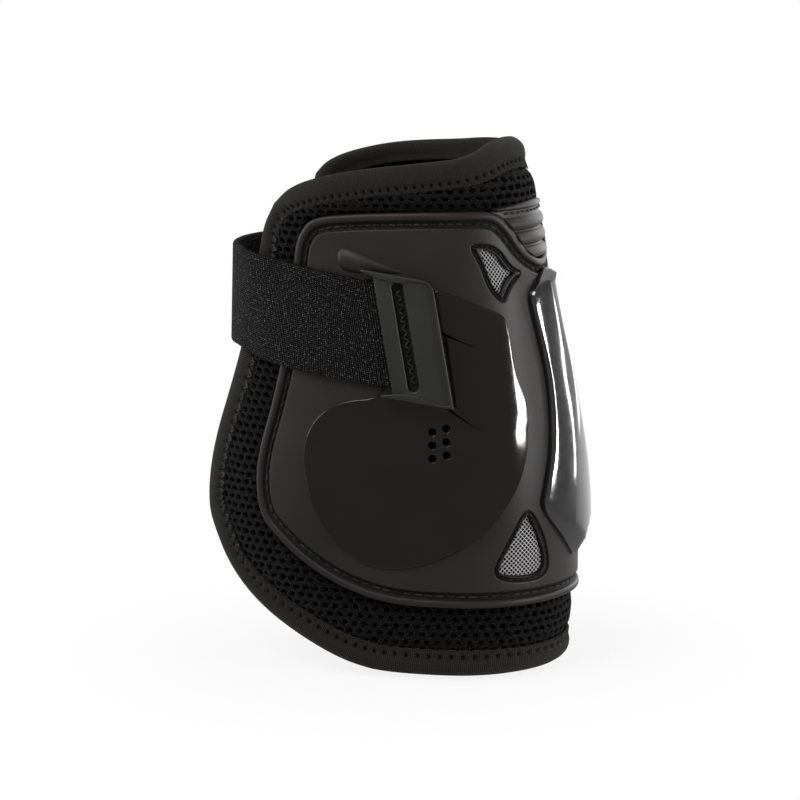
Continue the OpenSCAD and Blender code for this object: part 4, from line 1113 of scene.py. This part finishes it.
def strap_point(s, across, out):
    """Place of a point of the strap: s along from the seam, across its width, out of its inner face"""
    q = s if s < STRAP_MID else s - 2 * STRAP_MID
    fade = ease(((s - 120) / (2 * STRAP_MID - STRAP_END - 120) - 0.7) / 0.3)
    q -= math.tan(math.radians(HOOK_TILT)) / girth(HOOK_HEIGHT) * across * fade
    z = STRAP_HEIGHT - (STRAP_DROP * max(0, STRAP_MID - 26 + q) if q < 0 else 0)
    free = ease((abs(q) - 100) / 16)
    on_shell = on_leg(q, z + across, STRAP_LOW + out, STRAP_ARCS)
    in_air = on_leg(q, z + across * 0.15, STRAP_LOW + out, STRAP_ARCS)
    in_air.z = on_shell.z
    return on_shell.lerp(in_air, free)


half = STRAP_WIDE / 2
strap_section = ([(-half + 0.9 + (STRAP_WIDE - 1.8) * i / 24, 0.0) for i in range(25)]
                 + [(half - 0.35, 0.2), (half, 0.8), (half - 0.35, 1.4)]
                 + [(half - 0.9 - (STRAP_WIDE - 1.8) * i / 24, STRAP_THICK) for i in range(25)]
                 + [(-half + 0.35, 1.4), (-half, 0.8), (-half + 0.35, 0.2)])
STRAP_M, STRAP_N = len(strap_section), 220
strap_length = 2 * STRAP_MID - STRAP_END - STRAP_START
elastic = bmesh.new()
bmesh.ops.create_grid(elastic, x_segments=STRAP_N, y_segments=STRAP_M, size=1)
flat = elastic.loops.layers.uv.verify()
for face in elastic.faces:
    for corner in face.loops:
        s = (corner.vert.co.x + 1) / 2 * strap_length
        across = strap_section[round((corner.vert.co.y + 1) / 2 * STRAP_M) % STRAP_M][0]
        corner[flat].uv = (s + 0.01, across + 20)
for v in elastic.verts:
    s = STRAP_START + (v.co.x + 1) / 2 * strap_length
    across, out = strap_section[round((v.co.y + 1) / 2 * STRAP_M) % STRAP_M]
    v.co = strap_point(s, across, out)
bmesh.ops.remove_doubles(elastic, verts=elastic.verts[:], dist=0.000001)
bmesh.ops.holes_fill(elastic, edges=[e for e in elastic.edges if e.is_boundary], sides=0)
bmesh.ops.recalc_face_normals(elastic, faces=elastic.faces[:])

# Woven polyester elastic: black, fine cross ribs 0.7 mm apart. Paler specks in its colour, lighter on the rib
# tops, are painted glints of the rubber between the yarns
elastic_weave, tree = new_material("woven_polyester_elastic")
uv = node(tree, "TexCoord")
ribs = node(tree, "TexWave", {"bands_direction": "X"},
    {"Vector": uv.outputs["UV"], "Scale": 0.45, "Distortion": 0.7, "Detail Scale": 2.0})
picks = node(tree, "TexWave", {"bands_direction": "Y"},
    {"Vector": uv.outputs["UV"], "Scale": 0.55, "Distortion": 2.2, "Detail Scale": 2.0})
pick_share = node(tree, "Math", {"operation": "MULTIPLY_ADD"}, {0: picks.outputs["Fac"], 1: 0.6, 2: 0.4})
weave = node(tree, "Math", {"operation": "MULTIPLY"},
    {0: ribs.outputs["Fac"], 1: pick_share.outputs["Value"]})
specks = node(tree, "TexNoise", {},
    {"Vector": uv.outputs["UV"], "Scale": 1.3, "Detail": 4.0, "Roughness": 0.75})
# Painted glints: sparse specks that lighten the colour
glint_specks = node(tree, "MapRange", {"interpolation_type": "SMOOTHSTEP"},
    {"Value": specks.outputs["Fac"], "From Min": 0.52, "From Max": 0.66, "To Min": 0.32, "To Max": 1.0})
glint = node(tree, "Math", {"operation": "MULTIPLY"},
    {0: weave.outputs["Value"], 1: glint_specks.outputs["Result"]})
shade = node(tree, "ValToRGB", {}, {"Fac": glint.outputs["Value"]})
shade.color_ramp.elements[0].position, shade.color_ramp.elements[1].position = 0.16, 0.8
shade.color_ramp.elements[0].color = linear("#020202")
shade.color_ramp.elements[1].color = linear("#8a8a89")
height = node(tree, "Math", {"operation": "MULTIPLY_ADD"},
    {0: weave.outputs["Value"], 1: 1.6, 2: specks.outputs["Fac"]})
bump = node(tree, "Bump", {}, {"Height": height.outputs["Value"], "Strength": 0.9, "Distance": 0.00022})
shader = node(tree, "BsdfPrincipled", {}, {
    "Base Color": shade.outputs["Color"], "Roughness": 0.75, "Specular IOR Level": 0.06, "Sheen Weight": 0.01,
    "Normal": bump.outputs["Normal"]})
node(tree, "OutputMaterial", {}, {"Surface": shader.outputs["BSDF"]})

elastic_piece = finish_piece("elastic_strap_band", elastic, [elastic_weave], None, wrapped=False)
fold_start, fold_end = strap_point(116, 0, 0.8), strap_point(124.5, 0, 0.8)
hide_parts("elastic_strap", "strap_anchor")

# Box seam with a cross, through the sewn end
STRAP_TOP = STRAP_LOW + 1.65
box = bmesh.new()
corners = [(81, 96.5), (92, 96.5), (92, 120.5), (81, 120.5)]
rows = ([(corners[i], corners[(i + 1) % 4]) for i in range(4)]
        + [(corners[0], corners[2]), (corners[1], corners[3])])
for a, b in rows:
    line = even([Vector(a), Vector(b)], max(2, round((Vector(b) - Vector(a)).length / 2.4)))
    for p, q in zip(line, line[1:]):
        sew(box, (*p.lerp(q, 0.06), STRAP_TOP), (*p.lerp(q, 0.94), STRAP_TOP), 0.55)
box_piece = finish_piece("anchor_seam", box, [thread_yarn], "boot", arcs=STRAP_ARCS)
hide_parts("anchor_stitching")


# ---- Hook --------------------------------------------------------------------
# The end of the elastic is sewn into a channel of a moulded plastic hook, whose lip grips a catch
# on the shell. The plate has a bar in front of the channel, a wide grip behind it, and a flange
# along each edge of the elastic.
heading = walk(BODY_ARCS, HOOK_REACH)[2]
up_the_side = on_leg(-HOOK_REACH, HOOK_HEIGHT + 10, 0) - on_leg(-HOOK_REACH, HOOK_HEIGHT - 10, 0)
side_lean = math.atan(up_the_side.y / 0.02)
hook_frame = (Matrix.Translation(on_leg(-HOOK_REACH, HOOK_HEIGHT, STRAP_LOW))
              @ Matrix.Rotation(math.pi / 2 - heading, 4, "Z")
              @ Matrix.Rotation(math.pi / 2 - side_lean, 4, "X")
              @ Matrix.Rotation(math.radians(HOOK_TILT), 4, "Z")
              @ Matrix.Scale(0.001, 4))
# On the plate x runs back from the channel, y runs up across the strap, and z out from it. The bar
# and the flanges lie askew to the strap.
SKEW, FLANGE_END = math.radians(19), 8.1
# How far the bar reaches in front of the channel, the channel's width, the plate's back end, its half
# height, and its underside and face
BAR, CHANNEL, PLATE_END, PLATE_HALF, PLATE_LOW, PLATE_TOP = 4.7, 3.4, 12.2, 17.6, 1.8, 4.0


def along_strap(x, offset):
    """Height on the plate of a line that runs along the strap"""
    return offset / math.cos(SKEW) - x * math.tan(SKEW)


# Moulded acetal: dark grey, satin, with a faint grain and rubbed, paler edges
acetal, tree = new_material("moulded_satin_acetal")
place = node(tree, "TexCoord")
grain = node(tree, "TexNoise", {}, {"Vector": place.outputs["Object"], "Scale": 2200.0, "Detail": 3.0})
flow = node(tree, "TexNoise", {}, {"Vector": place.outputs["Object"], "Scale": 60.0, "Detail": 3.0})
shade = node(tree, "ValToRGB", {}, {"Fac": flow.outputs["Fac"]})
shade.color_ramp.elements[0].position, shade.color_ramp.elements[1].position = 0.3, 0.7
shade.color_ramp.elements[0].color = linear("#242422")
shade.color_ramp.elements[1].color = linear("#2c2c2a")
bump = node(tree, "Bump", {}, {"Height": grain.outputs["Fac"], "Strength": 0.5, "Distance": 0.0001})
shader = node(tree, "BsdfPrincipled", {},
    {"Base Color": shade.outputs["Color"], "Roughness": 0.4, "Specular IOR Level": 0.4,
    "Normal": bump.outputs["Normal"]})
node(tree, "OutputMaterial", {}, {"Surface": shader.outputs["BSDF"]})

# The same acetal in the sewn channel, darker and duller: its dark colour is painted shade round the thread
channel_shade_acetal, tree = new_material("painted_shade_acetal_channel")
place = node(tree, "TexCoord")
grain = node(tree, "TexNoise", {}, {"Vector": place.outputs["Object"], "Scale": 1500.0, "Detail": 4.0})
shade = node(tree, "ValToRGB", {}, {"Fac": grain.outputs["Fac"]})
shade.color_ramp.elements[0].position, shade.color_ramp.elements[1].position = 0.4, 0.8
shade.color_ramp.elements[0].color = linear("#050505")
shade.color_ramp.elements[1].color = linear("#242423")
bump = node(tree, "Bump", {}, {"Height": grain.outputs["Fac"], "Strength": 0.8, "Distance": 0.0002})
shader = node(tree, "BsdfPrincipled", {},
    {"Base Color": shade.outputs["Color"], "Roughness": 0.7, "Specular IOR Level": 0.2,
    "Normal": bump.outputs["Normal"]})
node(tree, "OutputMaterial", {}, {"Surface": shader.outputs["BSDF"]})


def soft_edges(bm, width, sharpest=0.5):
    """Rounds the edges of a moulding"""
    edges = [e for e in bm.edges if len(e.link_faces) == 2 and e.calc_face_angle(0) > sharpest]
    bmesh.ops.bevel(bm, geom=edges, offset=width, offset_type="OFFSET", segments=3, profile=0.5,
        affect="EDGES", material=-1, clamp_overlap=True)


def prism(bm, outline, low, high):
    """Closed prism on an outline"""
    edges = edge_loop(bm, outline, high)
    bottom = rings(bm, edges, [(outline, low)])
    bmesh.ops.triangle_fill(bm, use_beauty=True, edges=edges, normal=(0, 0, 1))
    bmesh.ops.triangle_fill(bm, use_beauty=True, edges=bottom, normal=(0, 0, -1))


def join(bm, other):
    """Adds one mesh to another"""
    passed_on = bpy.data.meshes.new("passed_on")
    other.to_mesh(passed_on)
    other.free()
    bm.from_mesh(passed_on)
    bpy.data.meshes.remove(passed_on)


corner = Vector((PLATE_END, along_strap(PLATE_END, PLATE_HALF)))
corner_from = corner - Vector((0, 3))
corner_to = Vector((PLATE_END - 3, along_strap(PLATE_END - 3, PLATE_HALF)))
plate_edge = [Vector((-BAR, along_strap(-BAR, -PLATE_HALF))),
    Vector((PLATE_END, along_strap(PLATE_END, -PLATE_HALF)))]
plate_edge += [corner_from * (1 - t) ** 2 + corner * 2 * t * (1 - t) + corner_to * t * t
    for t in (0, 0.25, 0.5, 0.75, 1)]
plate_edge += [Vector((-BAR, along_strap(-BAR, PLATE_HALF)))]
slot_half = STRAP_WIDE / 2 + 1 - CHANNEL / 2
channel_edge = ([Vector((CHANNEL / 2 + CHANNEL / 2 * math.cos(a), -slot_half + CHANNEL / 2 * math.sin(a)))
                 for a in [math.pi + math.pi * i / 10 for i in range(11)]]
                + [Vector((CHANNEL / 2 + CHANNEL / 2 * math.cos(a), slot_half + CHANNEL / 2 * math.sin(a)))
                   for a in [math.pi * i / 10 for i in range(11)]])
plate = bmesh.new()
top_edges = edge_loop(plate, plate_edge, PLATE_TOP)
bottom_edges = rings(plate, top_edges, [(plate_edge, PLATE_LOW)])
channel_top = edge_loop(plate, channel_edge, PLATE_TOP)
channel_floor = rings(plate, channel_top, [(channel_edge, PLATE_LOW + 0.6)])
bmesh.ops.triangle_fill(plate, use_beauty=True, edges=top_edges + channel_top, normal=(0, 0, 1))
bmesh.ops.triangle_fill(plate, use_beauty=True, edges=channel_floor, normal=(0, 0, 1))
bmesh.ops.triangle_fill(plate, use_beauty=True, edges=bottom_edges, normal=(0, 0, -1))
bmesh.ops.dissolve_limit(plate, angle_limit=0.01, verts=plate.verts[:], edges=plate.edges[:])
bmesh.ops.recalc_face_normals(plate, faces=plate.faces[:])
soft_edges(plate, 0.4)
# Faces down in the channel take the darker copy: painted shade round the thread
for face in plate.faces:
    if within(channel_edge, face.calc_center_median()) and face.calc_center_median().z < PLATE_TOP - 0.4:
        face.material_index = 1
# The raised border: a flange along each edge of the elastic, joined by a rim round the back. The inner
# side of the flange is given by its place on the plate and the border's width there.
rim_in = [(9.0, 0.75), (5.6, 1.0), (4.2, 1.5), (3.8, 1.9), (0, 2.1), (-4, 1.5), (-FLANGE_END, 0.5)]
upper_out = [Vector((x, along_strap(x, PLATE_HALF))) for x in (-FLANGE_END, -4, 3.8, PLATE_END - 3)]
round_out = [corner_from * (1 - t) ** 2 + corner * 2 * t * (1 - t) + corner_to * t * t
    for t in (0.75, 0.5, 0.25, 0)]
centre = Vector((PLATE_END - 3, corner_from.y))
round_in = [p + (centre - p).normalized() * 0.75 for p in round_out]
upper_in = [Vector((x, along_strap(x, PLATE_HALF - w))) for x, w in rim_in]
lower_in = [Vector((x, along_strap(x, w - PLATE_HALF))) for x, w in rim_in]
lower_out = [Vector((x, along_strap(x, -PLATE_HALF))) for x in (PLATE_END, 3.8, -4, -FLANGE_END)]
foot_in = Vector((PLATE_END - 0.75, along_strap(PLATE_END - 0.75, 1.0 - PLATE_HALF)))
border = upper_out + round_out + lower_out + lower_in[::-1] + [foot_in] + round_in[::-1] + upper_in
rim_edge = bmesh.new()
prism(rim_edge, border[::-1], 0.4, 4.5)
for v in rim_edge.verts:
    if v.co.z < 1 and v.co.x > 4:
        v.co.z = 1.85
bmesh.ops.recalc_face_normals(rim_edge, faces=rim_edge.faces[:])
soft_edges(rim_edge, 0.3)
join(plate, rim_edge)

# Lip under the grip. It leans like the back of the catch, whose ends and height come first, and stands
# a gap behind it.
CATCH_FRONT, CATCH_BACK, CATCH_TOP = 3.8, 8.0, 0.9
LIP_TOP, LIP_LOW, LIP_THICK = 2.0, -0.3, 1.8
lip = bmesh.new()
slope = math.tan(math.radians(20))
back = CATCH_BACK + 1.3
lip_foot = back + (CATCH_TOP - LIP_LOW) * slope
on_edge = Matrix(((1, 0, 0, 0), (0, 0, 1, 0), (0, 1, 0, 0), (0, 0, 0, 1)))
prism(lip, [
    Vector((back + (CATCH_TOP - LIP_TOP) * slope, LIP_TOP)), Vector((lip_foot, LIP_LOW)),
    Vector((lip_foot + LIP_THICK, LIP_LOW)), Vector((lip_foot + LIP_THICK, LIP_TOP))], -14.5, -1.5)
bmesh.ops.recalc_face_normals(lip, faces=lip.faces[:])
soft_edges(lip, 0.2)
bmesh.ops.transform(lip, matrix=on_edge, verts=lip.verts[:])
bmesh.ops.recalc_face_normals(lip, faces=lip.faces[:])
join(plate, lip)
bmesh.ops.transform(plate, matrix=hook_frame, verts=plate.verts[:])
hook_piece = finish_piece("hook", plate, [acetal, channel_shade_acetal], "hook", wrapped=False)
hook_piece.data.set_sharp_from_angle(angle=math.radians(35))
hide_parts("hook_plate")

# End of the elastic under the hook, from the front of the flanges to the far side of the channel
TAIL_START, TAIL_LONG = -8.4, 11.6
tail = bmesh.new()
bmesh.ops.create_grid(tail, x_segments=24, y_segments=24, size=1)
flat = tail.loops.layers.uv.verify()
for face in tail.faces:
    for loop in face.loops:
        x = TAIL_START + TAIL_LONG * (loop.vert.co.x + 1) / 2
        loop[flat].uv = (strap_length - TAIL_START + x, 20.01 + half * loop.vert.co.y)
for v in tail.verts:
    x = TAIL_START + TAIL_LONG * (v.co.x + 1) / 2
    v.co = (x, along_strap(x, half * v.co.y), STRAP_THICK)
bmesh.ops.recalc_face_normals(tail, faces=tail.faces[:])
bottom = bmesh.ops.extrude_face_region(tail, geom=tail.faces[:])["geom"]
bmesh.ops.translate(tail, vec=(0, 0, -STRAP_THICK),
    verts=[v for v in bottom if isinstance(v, bmesh.types.BMVert)])
bmesh.ops.recalc_face_normals(tail, faces=tail.faces[:])
bmesh.ops.transform(tail, matrix=hook_frame, verts=tail.verts[:])
tail_piece = finish_piece("elastic_tail", tail, [elastic_weave], "hook", wrapped=False)
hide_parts("strap_tail")

# Zigzag seam through the channel: half its length, its two sides, its level and its thickness
hook_seam = bmesh.new()
turns, seam_half, seam_front, seam_back = 22, 13.8, 0.85, 2.5
seam_level, seam_thread = PLATE_LOW + 0.95, 0.7
for i in range(turns):
    y0, y1 = -seam_half + 2 * seam_half * i / turns, -seam_half + 2 * seam_half * (i + 1) / turns
    x0, x1 = (seam_front, seam_back) if i % 2 else (seam_back, seam_front)
    sew(hook_seam, (x0, y0, seam_level), (x1, y1, seam_level), seam_thread)
bmesh.ops.transform(hook_seam, matrix=hook_frame, verts=hook_seam.verts[:])
hook_seam_piece = finish_piece("hook_seam", hook_seam, [thread_yarn], "hook", wrapped=False)
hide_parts("hook_stitching")

# Catch on the shell that the lip of the hook grips
catch = bmesh.new()
CATCH_LOW = -2.3
prism(catch, [
    Vector((CATCH_FRONT, CATCH_LOW)), Vector((CATCH_FRONT, CATCH_TOP - 0.5)),
    Vector((CATCH_FRONT + 0.5, CATCH_TOP)), Vector((CATCH_BACK, CATCH_TOP)),
    Vector((CATCH_BACK + (CATCH_TOP - CATCH_LOW) * slope, CATCH_LOW))][::-1], -15, -1)
bmesh.ops.recalc_face_normals(catch, faces=catch.faces[:])
soft_edges(catch, 0.2)
bmesh.ops.transform(catch, matrix=on_edge, verts=catch.verts[:])
bmesh.ops.transform(catch, matrix=hook_frame, verts=catch.verts[:])
bmesh.ops.recalc_face_normals(catch, faces=catch.faces[:])
catch_piece = finish_piece("hook_catch", catch, [matt_tpu], "boot", wrapped=False)
catch_piece.data.set_sharp_from_angle(angle=math.radians(35))
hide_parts("outer_shell")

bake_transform(elastic_piece)


# ---- Studio ------------------------------------------------------------------
# A white paper floor in a white sweep. Both are white to the eye, and in reflections they darken
# towards the camera's side. Soft lamps stand above, behind and in front, and a small window and a
# tall strip on the spine side draw the highlights.
SWEEP_BACK = (-0.37, 0.93, 0)
floor_mesh = bmesh.new()
bmesh.ops.create_grid(floor_mesh, x_segments=1, y_segments=1, size=4)
mesh = bpy.data.meshes.new("studio_floor")
floor_mesh.to_mesh(mesh)
floor_mesh.free()
floor = bpy.data.objects.new("studio_floor", mesh)
bpy.context.collection.objects.link(floor)
floor.location.z = -0.0005
floor_paint, tree = new_material("white_paper_sweep")
rays = node(tree, "LightPath")
seen = node(tree, "Math", {"operation": "MAXIMUM"},
    {0: rays.outputs["Is Glossy Ray"], 1: rays.outputs["Is Transmission Ray"]})
seen = node(tree, "Math", {"operation": "MAXIMUM"},
    {0: seen.outputs["Value"], 1: rays.outputs["Is Camera Ray"]})
# Close to the boot the paper shows through the glow, so that the floor keeps the boot's shadow
place = node(tree, "TexCoord")
away_from_boot = node(tree, "VectorMath", {"operation": "LENGTH"}, {0: place.outputs["Object"]})
clear = node(tree, "MapRange", {"interpolation_type": "SMOOTHSTEP"},
    {"Value": away_from_boot.outputs["Value"], "From Min": 0.04, "From Max": 0.12, "To Min": 0.86,
    "To Max": 1.0})
paper = node(tree, "BsdfDiffuse", {}, {"Color": (0.85, 0.85, 0.85, 1)})
# The glow is full behind the boot and falls off towards the camera, but only in reflections
behind = node(tree, "VectorMath", {"operation": "DOT_PRODUCT"}, {0: place.outputs["Object"], 1: SWEEP_BACK})
level = node(tree, "MapRange", {"interpolation_type": "SMOOTHSTEP"},
    {"Value": behind.outputs["Value"], "From Min": -0.12, "From Max": 0.28, "To Min": 0.28, "To Max": 1.0})
level = node(tree, "Math", {"operation": "MAXIMUM"},
    {0: level.outputs["Result"], 1: rays.outputs["Is Camera Ray"]})
glow = node(tree, "Emission", {}, {"Color": (1, 1, 1, 1), "Strength": level.outputs["Value"]})
keep = node(tree, "Math", {"operation": "MULTIPLY"}, {0: seen.outputs["Value"], 1: clear.outputs["Result"]})
mix = node(tree, "MixShader", {},
    {"Fac": keep.outputs["Value"], 1: paper.outputs["BSDF"], 2: glow.outputs["Emission"]})
node(tree, "OutputMaterial", {}, {"Surface": mix.outputs["Shader"]})
floor.data.materials.append(floor_paint)

# The room itself is dim and even; the sweep is what is seen in it and mirrored in glossy parts
world = bpy.data.worlds.new("studio_sweep")
world.use_nodes = True
tree = world.node_tree
tree.nodes.clear()
rays = node(tree, "LightPath")
seen = node(tree, "Math", {"operation": "MAXIMUM"},
    {0: rays.outputs["Is Glossy Ray"], 1: rays.outputs["Is Transmission Ray"]})
seen = node(tree, "Math", {"operation": "MAXIMUM"},
    {0: seen.outputs["Value"], 1: rays.outputs["Is Camera Ray"]})
room = node(tree, "Background", {}, {"Color": (1, 1, 1, 1), "Strength": 0.3})
place = node(tree, "TexCoord")
behind = node(tree, "VectorMath", {"operation": "DOT_PRODUCT"},
    {0: place.outputs["Generated"], 1: SWEEP_BACK})
level = node(tree, "MapRange", {"interpolation_type": "SMOOTHSTEP"},
    {"Value": behind.outputs["Value"], "From Min": -0.2, "From Max": 0.6, "To Min": 0.28, "To Max": 1.0})
level = node(tree, "Math", {"operation": "MAXIMUM"},
    {0: level.outputs["Result"], 1: rays.outputs["Is Camera Ray"]})
sweep = node(tree, "Background", {}, {"Color": (1, 1, 1, 1), "Strength": level.outputs["Value"]})
mix = node(tree, "MixShader", {},
    {"Fac": seen.outputs["Value"], 1: room.outputs["Background"], 2: sweep.outputs["Background"]})
node(tree, "OutputWorld", {}, {"Surface": mix.outputs["Shader"]})
bpy.context.scene.world = world

target = Vector((-0.0023, 0.0001, 0.076))


def lamp(name, place, wide, tall, power):
    """A rectangular soft lamp that faces the boot"""
    light = bpy.data.lights.new(name, "AREA")
    light.shape, light.size, light.size_y, light.energy = "RECTANGLE", wide, tall, power
    holder = bpy.data.objects.new(name, light)
    holder.location = target + Vector(place)
    holder.rotation_euler = (target - holder.location).to_track_quat("-Z", "Y").to_euler()
    bpy.context.collection.objects.link(holder)


# Each lamp's place from the boot's middle, its width and height in metres, and its watts
lamp("soft_box", (-0.35, -0.7, 0.95), 0.8, 0.6, 8)
lamp("spine_window", (0.85, -0.06, 0.083), 0.14, 0.08, 3.3)
lamp("spine_edge", (0.73, 0.42, 0.1), 0.05, 0.5, 1.2)
lamp("back_wash", (0.26, 0.81, 0.12), 0.5, 0.7, 3)
lamp("front_fill", (-0.9, -0.25, 0.3), 0.5, 0.5, 3)

camera = bpy.data.objects.new("camera", bpy.data.cameras.new("camera"))
azimuth, elevation, distance = math.radians(22), math.radians(10), 1.05
away = Vector((math.sin(azimuth) * math.cos(elevation), -math.cos(azimuth) * math.cos(elevation),
    math.sin(elevation)))
camera.location = target + away * distance
camera.rotation_euler = away.to_track_quat("Z", "Y").to_euler()
camera.data.lens, camera.data.sensor_width = 157.5, 36
bpy.context.collection.objects.link(camera)
bpy.context.scene.camera = camera
bpy.context.scene.view_settings.view_transform = "Standard"
